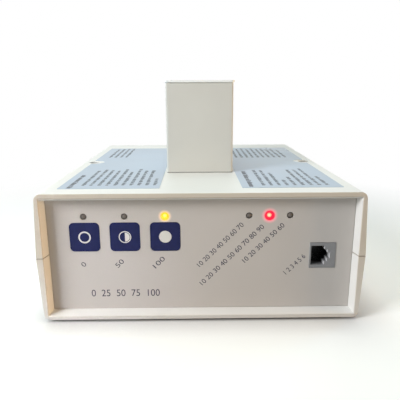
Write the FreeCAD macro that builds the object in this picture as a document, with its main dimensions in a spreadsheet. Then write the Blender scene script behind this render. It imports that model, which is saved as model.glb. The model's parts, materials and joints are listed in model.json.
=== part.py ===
import FreeCAD, Part
import math
import os
import Sketcher

# Fibre optic illuminator: a bench light source in a two-part plastic case.
# Millimetres. X runs to the right of someone facing the front panel, Y to the rear, Z up.
# The origin is the middle of the footprint, on the surface that the feet stand on.

SIZES = {
    # Case shells
    "case_width": 172.0,
    "case_depth": 198.0,
    "case_height": 69.5,
    "split_height": 35.0,
    "split_gap": 0.25,
    "top_draft": 1.7,
    "bottom_draft": 1.5,
    "edge_round": 3.5,
    "side_wall": 4.0,
    "shell_wall": 2.6,
    "tongue_thick": 1.2,
    "tongue_height": 1.2,
    "tongue_inset": 0.9,
    "tongue_play": 0.15,
    # Rim and recess at both open ends
    "rim_side": 3.5,
    "rim_bottom": 1.9,
    "rim_top": 3.1,
    "rim_chamfer": 1.0,
    "bezel_taper": 1.35,
    "recess": 6.5,
    "panel_thick": 2.0,
    "panel_bite": 1.5,
    "slot_play": 0.1,
    "slot_end_play": 0.2,
    "rib_thick": 2.5,
    # Feet
    "foot_height": 1.5,
    "foot_seat": 0.8,
    "foot_radius": 6.5,
    "foot_play": 0.25,
    "foot_inset_side": 18.0,
    "foot_inset_end": 24.0,
    # Case screws and their bosses
    "boss_inset": 11.0,
    "boss_wall": 1.25,
    "screw_recess_radius": 3.65,
    "screw_ledge": 12.0,
    "case_screw_radius": 1.7,
    "case_screw_head_radius": 3.2,
    "case_screw_head_height": 2.4,
    "case_screw_grip": 16.0,
    "screw_play": 0.3,
    "thread_play": 0.06,
    "hole_overrun": 1.5,
    # Front panel, its film and its keys
    "film_thick": 0.25,
    "film_margin": 0.3,
    "key_size": 15.8,
    "key_round": 2.3,
    "key_pitch": 21.3,
    "key_row_inset": 24.35,
    "key_row_drop": 24.9,
    "key_play": 0.15,
    "key_proud": 0.15,
    "key_travel": 0.5,
    "key_flange": 1.2,
    "key_flange_thick": 0.8,
    "key_stem_radius": 1.5,
    # Key pad board and switches
    "board_gap": 7.0,
    "board_thick": 1.6,
    "key_board_height": 28.0,
    "key_board_side_gap": 4.0,
    "key_board_jack_gap": 0.1,
    "key_board_rise": 3.2,
    "switch_body": 6.0,
    "switch_height": 3.5,
    "switch_well_play": 0.3,
    "switch_well_spare": 0.2,
    "spacer_radius": 2.6,
    "spacer_inset": 4.0,
    "board_screw_radius": 1.25,
    "board_screw_head_radius": 2.4,
    "board_screw_head_height": 1.6,
    "board_screw_grip": 4.0,
    # Indicator lights
    "led_radius": 1.6,
    "led_play": 0.15,
    "led_proud": 0.3,
    "led_row_drop": 13.65,
    "led_flange": 0.4,
    "led_flange_thick": 1.0,
    "status_led_inset": 50.0,
    "status_led_pitch": 10.8,
    # Modular jack, turned on its side
    "jack_inset": 20.9,
    "jack_drop": 36.1,
    "jack_width": 14.0,
    "jack_height": 14.3,
    "jack_depth": 17.0,
    "jack_proud": 0.3,
    "jack_play": 0.12,
    "jack_flange": 1.0,
    "jack_flange_thick": 1.5,
    "jack_side_wall": 0.8,
    "jack_slot_height": 10.8,
    "jack_slot_width": 7.2,
    "jack_step_height": 7.0,
    "jack_step_width": 1.5,
    "jack_notch_height": 3.4,
    "jack_notch_width": 1.4,
    "jack_slot_depth": 13.5,
    "contact_pitch": 1.02,
    "contact_thick": 0.45,
    "contact_reach": 10.0,
    # Labels on the top
    "label_thick": 0.2,
    "label_tower_gap": 1.5,
    "label_side_margin": 10.0,
    "label_front_margin": 12.0,
    "label_rear_margin": 25.0,
    "label_notch_radius": 7.0,
    # Light head
    "tower_setback": 56.8,
    "tower_round": 1.2,
    "tower_wall": 2.0,
    "tower_floor": 2.5,
    "tower_ledge": 4.5,
    "tower_end_ledge": 7.0,
    "tower_boss_radius": 3.2,
    "tower_boss_height": 8.0,
    "tower_screw_radius": 1.25,
    "tower_screw_head_radius": 2.6,
    "tower_screw_head_height": 1.8,
    "cap_thick": 1.2,
    "cap_overhang": 0.8,
    "cap_skirt": 4.0,
    "cap_skirt_thick": 1.2,
    "cap_play": 0.2,
    "vent_width": 2.2,
    "vent_pitch": 5.2,
    "vent_length": 26.0,
    # Lamp and optics
    "optic_height": 27.0,
    "lamp_side_gap": 0.9,
    "lamp_rear_gap": 3.2,
    "lamp_ring_radius": 17.6,
    "lamp_ring_thick": 3.0,
    "lamp_ring_ledge": 2.0,
    "lamp_neck_radius": 6.0,
    "lamp_bowl_length": 20.0,
    "lamp_neck_length": 5.0,
    "lamp_glass": 1.4,
    "lamp_pin_radius": 0.5,
    "lamp_pin_spread": 4.0,
    "lamp_pin_length": 6.0,
    "capsule_radius": 4.2,
    "capsule_length": 15.0,
    "socket_width": 15.0,
    "socket_height": 12.0,
    "socket_depth": 11.0,
    "bracket_side_gap": 1.0,
    "bracket_thick": 2.0,
    "bracket_rise": 20.5,
    "bracket_foot": 14.0,
    "bracket_cap_gap": 3.3,
    "bracket_play": 0.3,
    "filter_inset": 2.8,
    "filter_thick": 3.0,
    "filter_seat": 1.8,
    "filter_gap": 12.0,
    "filter_port_gap": 2.8,
    # Light port and clamp
    "port_bore_radius": 5.1,
    "port_barrel_radius": 10.0,
    "port_barrel_length": 20.0,
    "port_flange_radius": 13.0,
    "port_flange_thick": 3.0,
    "port_neck_radius": 8.5,
    "port_neck_length": 9.0,
    "port_play": 0.15,
    "port_nut_width": 22.0,
    "port_nut_thick": 4.0,
    "clamp_radius": 2.0,
    "clamp_play": 0.05,
    "clamp_tip_gap": 0.3,
    "clamp_knob_radius": 6.0,
    "clamp_knob_height": 7.0,
    "clamp_knob_gap": 3.0,
    "clamp_head_length": 4.0,
    "knurl_depth": 0.4,
    # Fan
    "fan_size": 50.0,
    "fan_depth": 15.0,
    "fan_inset": 43.0,
    "fan_round": 3.0,
    "fan_duct_radius": 23.4,
    "fan_hole_spacing": 40.0,
    "fan_hole_radius": 2.1,
    "fan_hub_radius": 9.6,
    "fan_hub_thick": 4.0,
    "fan_strut_width": 2.4,
    "fan_shaft_radius": 1.5,
    "fan_shaft_play": 0.05,
    "fan_rotor_gap": 0.5,
    "fan_rotor_length": 9.0,
    "fan_blade_thick": 1.2,
    "fan_blade_chord": 12.0,
    "fan_tip_gap": 0.7,
    "guard_wire_radius": 0.8,
    "guard_bar_depth": 1.2,
    "guard_eye_radius": 4.0,
    "fan_screw_radius": 1.5,
    "fan_screw_head_radius": 2.9,
    "fan_screw_head_height": 2.0,
    "fan_nut_width": 5.5,
    "fan_nut_thick": 2.4,
    # Mains inlet with fuse drawer
    "inlet_inset": 30.0,
    "inlet_middle": 26.0,
    "inlet_flange_width": 31.0,
    "inlet_flange_height": 38.0,
    "inlet_flange_thick": 2.5,
    "inlet_body_width": 27.0,
    "inlet_body_height": 33.0,
    "inlet_body_depth": 22.0,
    "inlet_play": 0.2,
    "socket_hole_width": 24.4,
    "socket_hole_height": 16.6,
    "socket_hole_depth": 18.5,
    "socket_hole_cut": 4.0,
    "socket_hole_drop": 6.4,
    "pin_width": 4.0,
    "pin_thick": 2.0,
    "pin_length": 14.0,
    "pin_spread": 7.0,
    "pin_offset": 2.0,
    "pin_tab": 6.0,
    "drawer_width": 20.0,
    "drawer_height": 7.6,
    "drawer_depth": 17.0,
    "drawer_rise": 9.4,
    "drawer_face": 1.5,
    "drawer_face_margin": 1.2,
    "fuse_radius": 2.5,
    "fuse_length": 14.0,
    "fuse_cap_length": 3.5,
    # Mains switch
    "rocker_spacing": 32.0,
    "rocker_flange_width": 15.0,
    "rocker_flange_height": 21.0,
    "rocker_frame_width": 12.8,
    "rocker_frame_height": 19.0,
    "rocker_frame_depth": 12.0,
    "rocker_wall": 1.2,
    "rocker_gap": 0.35,
    "rocker_drop": 1.4,
    "rocker_depth": 6.0,
    "rocker_pin_radius": 0.8,
    "rocker_pin_play": 0.05,
    # Transformer
    "core_inset": 42.0,
    "core_boss_gap": 8.1,
    "core_width": 48.0,
    "core_stack": 24.0,
    "core_height": 40.0,
    "core_leg": 16.0,
    "coil_play": 0.3,
    "coil_overhang": 8.0,
    "strap_thick": 1.2,
    "strap_width": 18.0,
    "strap_foot": 10.0,
    "strap_boss_radius": 4.0,
    "strap_boss_height": 5.0,
    "strap_screw_radius": 1.5,
    "strap_screw_head_radius": 2.9,
    "strap_screw_head_height": 2.0,
    # Control board
    "main_board_side_gap": 14.0,
    "main_board_strap_gap": 14.8,
    "main_board_front_gap": 41.0,
    "standoff_height": 8.0,
    "standoff_radius": 3.0,
    "standoff_inset": 5.0,
    "cap_can_radius": 7.0,
    "cap_can_height": 24.0,
    "cap_can_gap": 2.1,
    "cap_can_rear_gap": 6.9,
    "cap_can_sink_gap": 2.5,
    "heatsink_width": 30.0,
    "heatsink_height": 25.0,
    "heatsink_depth": 14.0,
    "heatsink_base": 3.5,
    "heatsink_chip_gap": 6.2,
    "fin_thick": 1.5,
    "chip_width": 9.0,
    "chip_length": 22.0,
    "chip_height": 4.0,
    "chip_gap": 5.4,
    "chip_terminal_gap": 2.5,
    "transistor_width": 10.0,
    "transistor_height": 15.0,
    "transistor_thick": 4.5,
    "terminal_width": 20.0,
    "terminal_depth": 10.0,
    "terminal_height": 12.0,
    "header_width": 17.0,
    "header_depth": 8.0,
    "header_height": 9.0,
    "header_edge_gap": 4.0,
    "ribbon_width": 14.0,
    "ribbon_thick": 0.9,
    "ribbon_board_gap": 1.0,
    "ribbon_bend": 4.0,
    "lead_radius": 0.9,
    "lead_spread": 6.0,
    "lead_bend": 12.0,
    "lead_slope_height": 24.0,
    "cut_overrun": 2.0,
}

BLADE_COUNT = 7
BLADE_ANGLE = 35.0
KNURL_COUNT = 24
VENT_COUNT = 11
FIN_COUNT = 6
CONTACT_COUNT = 6
ROCKER_TILT = 9.0
GUARD_RING_SHARES = (1, 2 / 3, 1 / 3)
CROSS_SLOT_SHARE = 1 / 4
TINY = 1e-6

doc = FreeCAD.newDocument("illuminator")
sheet = doc.addObject("Spreadsheet::Sheet", "Sizes")
for row, (alias, number) in enumerate(SIZES.items(), start=1):
    sheet.set(f"A{row}", alias)
    sheet.set(f"B{row}", str(number))
    sheet.setAlias(f"B{row}", alias)
doc.recompute()


class Size:
    """A length worked out from the sheet: the formula to bind, and its present value."""

    def __init__(self, formula, value):
        self.formula = formula
        self.value = value

    def joined(self, sign, other, value):
        return Size(f"({self.formula} {sign} {as_size(other).formula})", value)

    def __add__(self, other):
        return self.joined("+", other, self.value + as_size(other).value)

    def __sub__(self, other):
        return self.joined("-", other, self.value - as_size(other).value)

    def __mul__(self, other):
        return self.joined("*", other, self.value * as_size(other).value)

    def __truediv__(self, other):
        return self.joined("/", other, self.value / as_size(other).value)

    def __neg__(self):
        return Size(f"(0 - {self.formula})", -self.value)

    def __rmul__(self, other):
        return as_size(other) * self


def as_size(number):
    """Takes a plain number such as zero or a factor as a Size."""
    return number if isinstance(number, Size) else Size(repr(float(number)), float(number))


class SheetSizes:
    """The sheet's cells by name: s.case_width is the cell called case_width."""

    def __getattr__(self, alias):
        return Size(f"Sizes.{alias}", SIZES[alias])


s = SheetSizes()
ZERO = as_size(0)
TURNS = {
    "X": FreeCAD.Rotation(FreeCAD.Vector(0, 1, 0), 90),
    "Y": FreeCAD.Rotation(FreeCAD.Vector(1, 0, 0), -90),
    "Z": FreeCAD.Rotation(),
}
PLANES = {"X": "YZ_Plane", "Y": "XZ_Plane", "Z": "XY_Plane"}
nodes = {}


def bind(thing, formulas):
    """Ties each property of the thing to its formula over the sheet."""
    for path, size in formulas.items():
        thing.setExpression(path, as_size(size).formula)


def around(middle, width):
    """The two ends of a width about its middle."""
    return (middle - width / 2, middle + width / 2)


def box(x, y, z):
    """A block between two places along each axis."""
    block = doc.addObject("Part::Box", "Block")
    bind(block, {
        "Placement.Base.x": x[0],
        "Placement.Base.y": y[0],
        "Placement.Base.z": z[0],
        "Length": x[1] - x[0],
        "Width": y[1] - y[0],
        "Height": z[1] - z[0],
    })
    return block


def stand(thing, axis, across, start):
    """Turns a round solid to an axis and starts it there, at two places across the axis."""
    thing.Placement = FreeCAD.Placement(FreeCAD.Vector(), TURNS[axis])
    others = [name for name in "XYZ" if name != axis]
    places = dict(zip(others, across))
    places[axis] = start
    bind(thing, {f"Placement.Base.{name.lower()}": place for name, place in places.items()})
    return thing


def rod(axis, across, radius, along):
    """A cylinder along an axis, between two places on it."""
    cylinder = doc.addObject("Part::Cylinder", "Rod")
    bind(cylinder, {"Radius": radius, "Height": along[1] - along[0]})
    return stand(cylinder, axis, across, along[0])


def cone(axis, across, radii, along):
    """A cone along an axis, with a radius at each end."""
    solid = doc.addObject("Part::Cone", "Cone")
    bind(solid, {"Radius1": radii[0], "Radius2": radii[1], "Height": along[1] - along[0]})
    return stand(solid, axis, across, along[0])


def ring(axis, across, radius, wire, level):
    """A wire ring square to an axis."""
    torus = doc.addObject("Part::Torus", "Ring")
    bind(torus, {"Radius1": radius, "Radius2": wire})
    return stand(torus, axis, across, level)


def ball(axis, across, radius, level):
    """A sphere."""
    sphere = doc.addObject("Part::Sphere", "Ball")
    bind(sphere, {"Radius": radius})
    return stand(sphere, axis, across, level)


def hexagon(axis, across, width, along):
    """A six-sided prism, given by its width across flats."""
    prism = doc.addObject("Part::Prism", "Hexagon")
    bind(prism, {"Circumradius": width / math.sqrt(3), "Height": along[1] - along[0]})
    prism.Polygon = 6
    return stand(prism, axis, across, along[0])


def wedge(y, near, far):
    """A block along Y whose section changes from near (x, z) at its front to far (x, z)."""
    solid = doc.addObject("Part::Wedge", "Wedge")
    bind(solid, {
        "Ymin": y[0], "Ymax": y[1],
        "Xmin": near[0][0], "Xmax": near[0][1], "Zmin": near[1][0], "Zmax": near[1][1],
        "X2min": far[0][0], "X2max": far[0][1], "Z2min": far[1][0], "Z2max": far[1][1],
    })
    return solid


def fuse(*solids):
    """One solid from several that meet."""
    union = doc.addObject("Part::MultiFuse", "Union")
    union.Shapes = list(solids)
    return union


def cut(base, *tools):
    """The base less the tools."""
    result = doc.addObject("Part::Cut", "Cut")
    result.Base = base
    result.Tool = tools[0] if len(tools) == 1 else group(*tools)
    return result


def common(*solids):
    """What several solids share."""
    shared = doc.addObject("Part::MultiCommon", "Common")
    shared.Shapes = list(solids)
    return shared


def group(*solids):
    """Separate solids kept together."""
    bundle = doc.addObject("Part::Compound", "Group")
    bundle.Links = list(solids)
    return bundle


def new_body():
    return doc.addObject("PartDesign::Body", "Body")


def sketch_at(body, axis, level):
    """A sketch in the body, square to an axis, at a level along it."""
    sketch = body.newObject("Sketcher::SketchObject", "Sketch")
    plane = next(item for item in body.Origin.OriginFeatures if item.Role == PLANES[axis])
    sketch.AttachmentSupport = (plane, [""])
    sketch.MapMode = "FlatFace"
    bind(sketch, {"AttachmentOffset.Base.z": -level if axis == "Y" else as_size(level)})
    return sketch


def pin_down(sketch, kind, curve, point, size):
    """Ties one coordinate of a sketch point to the sheet."""
    index = sketch.addConstraint(
        Sketcher.Constraint(kind, -1, 1, curve, point, as_size(size).value))
    bind(sketch, {f"Constraints[{index}]": size})


def draw_outline(sketch, corners):
    """A closed outline of straight lines through the corners."""
    points = [FreeCAD.Vector(as_size(a).value, as_size(b).value, 0) for a, b in corners]
    first = sketch.GeometryCount
    count = len(points)
    for index in range(count):
        line = Part.LineSegment(points[index], points[(index + 1) % count])
        sketch.addGeometry(line, False)
    for index in range(count):
        following = first + (index + 1) % count
        sketch.addConstraint(Sketcher.Constraint("Coincident", first + index, 2, following, 1))
    for index, (a, b) in enumerate(corners):
        pin_down(sketch, "DistanceX", first + index, 1, a)
        pin_down(sketch, "DistanceY", first + index, 1, b)


def draw_rectangle(sketch, across, up):
    draw_outline(sketch, [(across[0], up[0]), (across[1], up[0]),
                          (across[1], up[1]), (across[0], up[1])])


def draw_circle(sketch, middle, radius):
    """A circle with its middle and radius tied to the sheet."""
    centre = FreeCAD.Vector(as_size(middle[0]).value, as_size(middle[1]).value, 0)
    circle = Part.Circle(centre, FreeCAD.Vector(0, 0, 1), as_size(radius).value)
    curve = sketch.addGeometry(circle, False)
    index = sketch.addConstraint(Sketcher.Constraint("Radius", curve, as_size(radius).value))
    bind(sketch, {f"Constraints[{index}]": radius})
    pin_down(sketch, "DistanceX", curve, 3, middle[0])
    pin_down(sketch, "DistanceY", curve, 3, middle[1])


def extrude(body, sketch, axis, length, removing=False):
    """Pads the sketch towards the axis's high end, or cuts a pocket that way."""
    kind = "PartDesign::Pocket" if removing else "PartDesign::Pad"
    feature = body.newObject(kind, "Extrusion")
    feature.Profile = sketch
    feature.Reversed = (axis == "Y") != removing
    bind(feature, {"Length": length})
    sketch.Visibility = False
    return feature


def revolve(body, sketch, role, removing=False):
    """Turns the sketch a full circle about an origin axis of the body."""
    kind = "PartDesign::Groove" if removing else "PartDesign::Revolution"
    feature = body.newObject(kind, "Turned")
    feature.Profile = sketch
    line = next(item for item in body.Origin.OriginFeatures if item.Role == role)
    feature.ReferenceAxis = (line, [""])
    feature.Angle = 360
    return feature


def runs_along(edge, axis):
    """Whether an edge is a straight line along the axis."""
    if not isinstance(edge.Curve, (Part.Line, Part.LineSegment)):
        return False
    direction = edge.tangentAt(edge.FirstParameter)
    return abs(abs(getattr(direction, axis.lower())) - 1) < TINY


def round_edges(body, radius, chosen, kind="PartDesign::Fillet"):
    """Rounds, or chamfers, the edges that the test chooses."""
    doc.recompute()
    tip = body.Tip
    names = [f"Edge{number}" for number, edge in enumerate(tip.Shape.Edges, start=1) if chosen(edge)]
    feature = body.newObject(kind, "Rounding")
    feature.Base = (tip, names)
    bind(feature, {"Radius" if kind.endswith("Fillet") else "Size": radius})
    return feature


def rounded_block(axis, x, y, z, radius):
    """A block whose four edges along one axis are rounded."""
    ranges = {"X": x, "Y": y, "Z": z}
    along = ranges.pop(axis)
    across, up = ranges.values()
    body = new_body()
    sketch = sketch_at(body, axis, along[0])
    draw_rectangle(sketch, across, up)
    extrude(body, sketch, axis, along[1] - along[0])
    round_edges(body, radius, lambda edge: runs_along(edge, axis))
    return body


def screw(axis, across, seat, tip, kind, head_sign):
    """A pan-head screw with a cross recess. head_sign is the way its head points along the axis."""
    radius = getattr(s, f"{kind}_radius")
    head_radius = getattr(s, f"{kind}_head_radius")
    head_height = getattr(s, f"{kind}_head_height")
    crown = seat + head_height * head_sign
    head = rod(axis, across, head_radius, (seat, crown) if head_sign > 0 else (crown, seat))
    shank = rod(axis, across, radius, (tip, seat) if head_sign > 0 else (seat, tip))
    slots = []
    others = [name for name in "XYZ" if name != axis]
    floor = crown - head_height / 2 * head_sign
    past = crown + head_height * head_sign
    for long_way in others:
        ranges = {axis: (floor, past) if head_sign > 0 else (past, floor)}
        for name, middle in zip(others, across):
            ranges[name] = around(middle, head_radius if name == long_way else head_radius * CROSS_SLOT_SHARE)
        slots.append(box(ranges["X"], ranges["Y"], ranges["Z"]))
    return cut(fuse(head, shank), *slots)


def node(name, thing):
    """Gives a finished sub-part its name."""
    thing.Label = name
    nodes[name] = thing
    return thing


# Levels and places that many pieces share
front = -s.case_depth / 2
rear = s.case_depth / 2
half_width = s.case_width / 2
bottom = s.foot_height
top = s.foot_height + s.case_height
split = s.foot_height + s.split_height
upper_split = split + s.split_gap
window_half = half_width - s.rim_side - s.bezel_taper
window_low = bottom + s.rim_bottom + s.bezel_taper
window_high = top - s.rim_top - s.bezel_taper
cavity_half = half_width - s.side_wall
floor = bottom + s.shell_wall
ceiling = top - s.shell_wall
slot_width = s.panel_thick + s.slot_play * 2
panel_front = front + s.recess + s.slot_play
panel_back = panel_front + s.panel_thick
film_front = panel_front - s.film_thick
rear_inner = rear - s.recess - s.slot_play - s.panel_thick
rear_outer = rear - s.recess - s.slot_play
cavity_end = s.case_depth / 2 - s.recess - slot_width - s.rib_thick
boss_x = half_width - s.boss_inset
boss_radius = s.screw_recess_radius + s.boss_wall
ledge = split + s.screw_ledge
past = s.cut_overrun
tower_base = top + s.tower_floor
optic_z = top + s.optic_height
tower_half = s.lamp_ring_radius + s.lamp_side_gap + s.tower_wall
tower_top = optic_z + s.bracket_rise + s.bracket_cap_gap + s.cap_skirt
tower_front = front + s.tower_setback
socket_y = (tower_front + s.tower_wall + s.lamp_rear_gap,
            tower_front + s.tower_wall + s.lamp_rear_gap + s.socket_depth)
lamp_mouth = s.lamp_ring_radius - s.lamp_ring_ledge
filter_radius = s.lamp_ring_radius - s.filter_inset
lamp_back = socket_y[1] + s.lamp_neck_length
lamp_plane = lamp_back + s.lamp_bowl_length
bracket_y = (lamp_plane - s.bracket_thick, lamp_plane)
holder_y = (lamp_plane + s.filter_gap, lamp_plane + s.filter_gap + s.filter_thick + s.bracket_thick)
port_start = holder_y[1] + s.filter_port_gap
tower_rear = port_start + s.port_neck_length + s.tower_wall
tower_depth = tower_rear - tower_front
tower_middle = tower_front + tower_depth / 2
shaft_half = tower_half - s.tower_wall - s.tower_ledge
shaft_y = (tower_front + s.tower_wall + s.tower_end_ledge, tower_rear - s.tower_wall - s.tower_end_ledge)
tower_screw_x = tower_half - s.tower_wall - s.tower_boss_radius
tower_screw_y = tower_depth / 2 - s.tower_wall - s.tower_boss_radius
tower_screw_places = [(tower_screw_x * side, tower_middle + tower_screw_y * end)
                      for side in (-1, 1) for end in (-1, 1)]
foot_places = [((half_width - s.foot_inset_side) * side, (rear - s.foot_inset_end) * end)
               for side in (-1, 1) for end in (-1, 1)]
key_z = top - s.key_row_drop
led_z = top - s.led_row_drop
key_board_z = key_z + s.key_board_rise
key_xs = {name: s.key_row_inset - half_width + s.key_pitch * step
          for step, name in enumerate(("key_off", "key_low", "key_high"))}
status_xs = [half_width - s.status_led_inset + s.status_led_pitch * step for step in (-1, 0, 1)]
led_xs = list(key_xs.values()) + status_xs
jack_x = half_width - s.jack_inset
jack_z = top - s.jack_drop
fan_x = s.fan_inset - half_width
fan_z = (window_low + window_high) / 2
fan_y = (rear_inner - s.fan_depth, rear_inner)
fan_screw_places = [(fan_x + s.fan_hole_spacing / 2 * side, fan_z + s.fan_hole_spacing / 2 * up)
                    for side in (-1, 1) for up in (-1, 1)]
inlet_x = half_width - s.inlet_inset
inlet_z = bottom + s.inlet_middle
rocker_x = inlet_x - s.rocker_spacing
core_x = half_width - s.core_inset
core_y = boss_radius + s.core_boss_gap + s.strap_width / 2


def end_cuts(low, high, lip):
    """What both open ends lack between two heights: the tapered bezel, the slot, the window."""
    half = window_half + s.bezel_taper
    flare = s.bezel_taper * past / s.recess
    mouth_low = low - s.bezel_taper - flare if low is window_low else low
    mouth_high = high + s.bezel_taper + flare if high is window_high else high
    slot_low = low - s.panel_bite - s.slot_end_play if low is window_low else low
    slot_high = high + s.panel_bite + s.slot_end_play if high is window_high else high
    mouth = ((-half - flare, half + flare), (mouth_low, mouth_high))
    window = ((-window_half, window_half), (low, high))
    slot_half = window_half + s.panel_bite + s.slot_end_play
    tools = [
        wedge((front - past, front + s.recess), mouth, window),
        wedge((rear - s.recess, rear + past), window, mouth),
        box(window[0], (front, rear), window[1]),
        box((-slot_half, slot_half), (front + s.recess, front + s.recess + slot_width),
            (slot_low, slot_high)),
        box((-slot_half, slot_half), (rear - s.recess - slot_width, rear - s.recess),
            (slot_low, slot_high)),
    ]
    if lip:
        edge_high = window_high + s.bezel_taper
        outer = ((-half, half), (edge_high - s.rim_chamfer, edge_high + s.rim_chamfer * 2))
        inner = ((-half, half), (edge_high - s.rim_chamfer, edge_high))
        tools.append(wedge((front - s.rim_chamfer, front + s.rim_chamfer), outer, inner))
        tools.append(wedge((rear - s.rim_chamfer, rear + s.rim_chamfer), inner, outer))
    return tools


def shell_outside(base, lid, base_half, lid_half, rounded_level):
    """A drafted block from base to lid, with its two long edges at one level rounded."""
    body = new_body()
    sketch = sketch_at(body, "Y", front)
    draw_outline(sketch, [(-base_half, base), (base_half, base), (lid_half, lid), (-lid_half, lid)])
    extrude(body, sketch, "Y", s.case_depth)
    round_edges(body, s.edge_round, lambda edge: runs_along(edge, "Y")
                and abs(edge.CenterOfMass.z - rounded_level.value) < TINY)
    return body


def make_shells():
    """The two halves of the case."""
    outside = shell_outside(upper_split, top, half_width, half_width - s.top_draft, top)
    bosses = [rod("Z", (boss_x * side, ZERO), boss_radius, (upper_split, top - s.shell_wall / 2))
              for side in (-1, 1)]
    hollow = box((-cavity_half, cavity_half), (-cavity_end, cavity_end), (upper_split - past, ceiling))
    below = upper_split - past
    blank = fuse(cut(outside, hollow, *end_cuts(below, window_high, True)), *bosses)
    tools = []
    for side in (-1, 1):
        at_boss = (boss_x * side, ZERO)
        tools.append(rod("Z", at_boss, s.screw_recess_radius, (ledge, top + past)))
        tools.append(rod("Z", at_boss, s.case_screw_radius + s.screw_play, (below, ledge + past)))
        groove = around((cavity_half + s.tongue_inset + s.tongue_thick / 2) * side,
                        s.tongue_thick + s.tongue_play * 2)
        tools.append(box(groove, (-cavity_end, cavity_end),
                         (below, split + s.tongue_height + s.tongue_play)))
    tools.append(box((-shaft_half, shaft_half), shaft_y, (ceiling - past, top + past)))
    for place in tower_screw_places:
        tools.append(rod("Z", place, s.tower_screw_radius + s.screw_play, (ceiling - past, top + past)))
    node("top_shell", cut(blank, *tools))

    outside = shell_outside(split, bottom, half_width, half_width - s.bottom_draft, bottom)
    hollow = box((-cavity_half, cavity_half), (-cavity_end, cavity_end), (floor, split + past))
    blank = cut(outside, hollow, *end_cuts(window_low, split + past, False))
    extras = []
    tools = []
    for side in (-1, 1):
        at_boss = (boss_x * side, ZERO)
        extras.append(rod("Z", at_boss, boss_radius, (bottom + s.shell_wall / 2, split)))
        tools.append(rod("Z", at_boss, s.case_screw_radius + s.thread_play,
                         (split - s.case_screw_grip - s.hole_overrun, split + past)))
        tongue = around((cavity_half + s.tongue_inset + s.tongue_thick / 2) * side, s.tongue_thick)
        tongue_end = cavity_end - s.tongue_inset
        extras.append(box(tongue, (-tongue_end, tongue_end),
                          (split - s.tongue_height, split + s.tongue_height)))
        strap_boss = (strap_boss_x(side), core_y)
        extras.append(rod("Z", strap_boss, s.strap_boss_radius,
                          (bottom + s.shell_wall / 2, floor + s.strap_boss_height)))
        tools.append(rod("Z", strap_boss, s.strap_screw_radius + s.thread_play,
                         (floor, floor + s.strap_boss_height + past)))
    for place in foot_places:
        tools.append(rod("Z", place, s.foot_radius + s.foot_play, (bottom - past, bottom + s.foot_seat)))
    node("bottom_shell", cut(fuse(blank, *extras), *tools))


def strap_boss_x(side):
    """Where the transformer strap's foot is screwed down, left (-1) or right (1)."""
    return core_x + (s.core_width / 2 + s.strap_thick + s.strap_foot / 2) * side


def make_case_hardware():
    """Feet, and the two long screws that hold the shells together."""
    feet = [rod("Z", place, s.foot_radius, (ZERO, bottom + s.foot_seat)) for place in foot_places]
    node("feet", group(*feet))
    screws = [screw("Z", (boss_x * side, ZERO), ledge, split - s.case_screw_grip, "case_screw", 1)
              for side in (-1, 1)]
    node("case_screws", group(*screws))


def panel_plate(y):
    """A plate that reaches into the slots all round."""
    half = window_half + s.panel_bite
    return box((-half, half), y, (window_low - s.panel_bite, window_high + s.panel_bite))


def panel_holes(y):
    """Key, light and jack holes through the front panel or its film."""
    through = (y[0] - s.panel_thick, y[1] + s.panel_thick)
    holes = []
    for x in key_xs.values():
        size = s.key_size + s.key_play * 2
        holes.append(rounded_block("Y", around(x, size), through, around(key_z, size),
                                   s.key_round + s.key_play))
    for x in led_xs:
        holes.append(rod("Y", (x, led_z), s.led_radius + s.led_play, through))
    holes.append(box(around(jack_x, s.jack_width + s.jack_play * 2), through,
                     around(jack_z, s.jack_height + s.jack_play * 2)))
    return holes


def make_front_panel():
    """The recessed panel and its printed film."""
    plate = (panel_front, panel_back)
    node("front_panel", cut(panel_plate(plate), *panel_holes(plate)))
    film = (film_front, panel_front)
    half = window_half - s.film_margin
    sheet_of_film = box((-half, half), film, (window_low + s.film_margin, window_high - s.film_margin))
    node("panel_overlay", cut(sheet_of_film, *panel_holes(film)))


def make_keys():
    """Three key pads, each with a flange behind the panel and a stem into its switch."""
    board_front = panel_back + s.board_gap
    switch_front = board_front - s.switch_height
    flange_size = s.key_size + s.key_flange * 2
    flange_back = panel_back + s.key_flange_thick
    well_depth = s.key_travel * 2 + s.switch_well_spare
    for name, x in key_xs.items():
        pad = rounded_block("Y", around(x, s.key_size), (film_front - s.key_proud, flange_back),
                            around(key_z, s.key_size), s.key_round)
        flange = box(around(x, flange_size), (panel_back, flange_back), around(key_z, flange_size))
        stem = rod("Y", (x, key_z), s.key_stem_radius, (panel_back, switch_front + s.key_travel))
        node(name, fuse(pad, flange, stem))
    switches = []
    for x in key_xs.values():
        body = box(around(x, s.switch_body), (switch_front, board_front), around(key_z, s.switch_body))
        well = rod("Y", (x, key_z), s.key_stem_radius + s.switch_well_play,
                   (switch_front - past, switch_front + well_depth))
        switches.append(cut(body, well))
    node("tact_switches", group(*switches))


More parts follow.
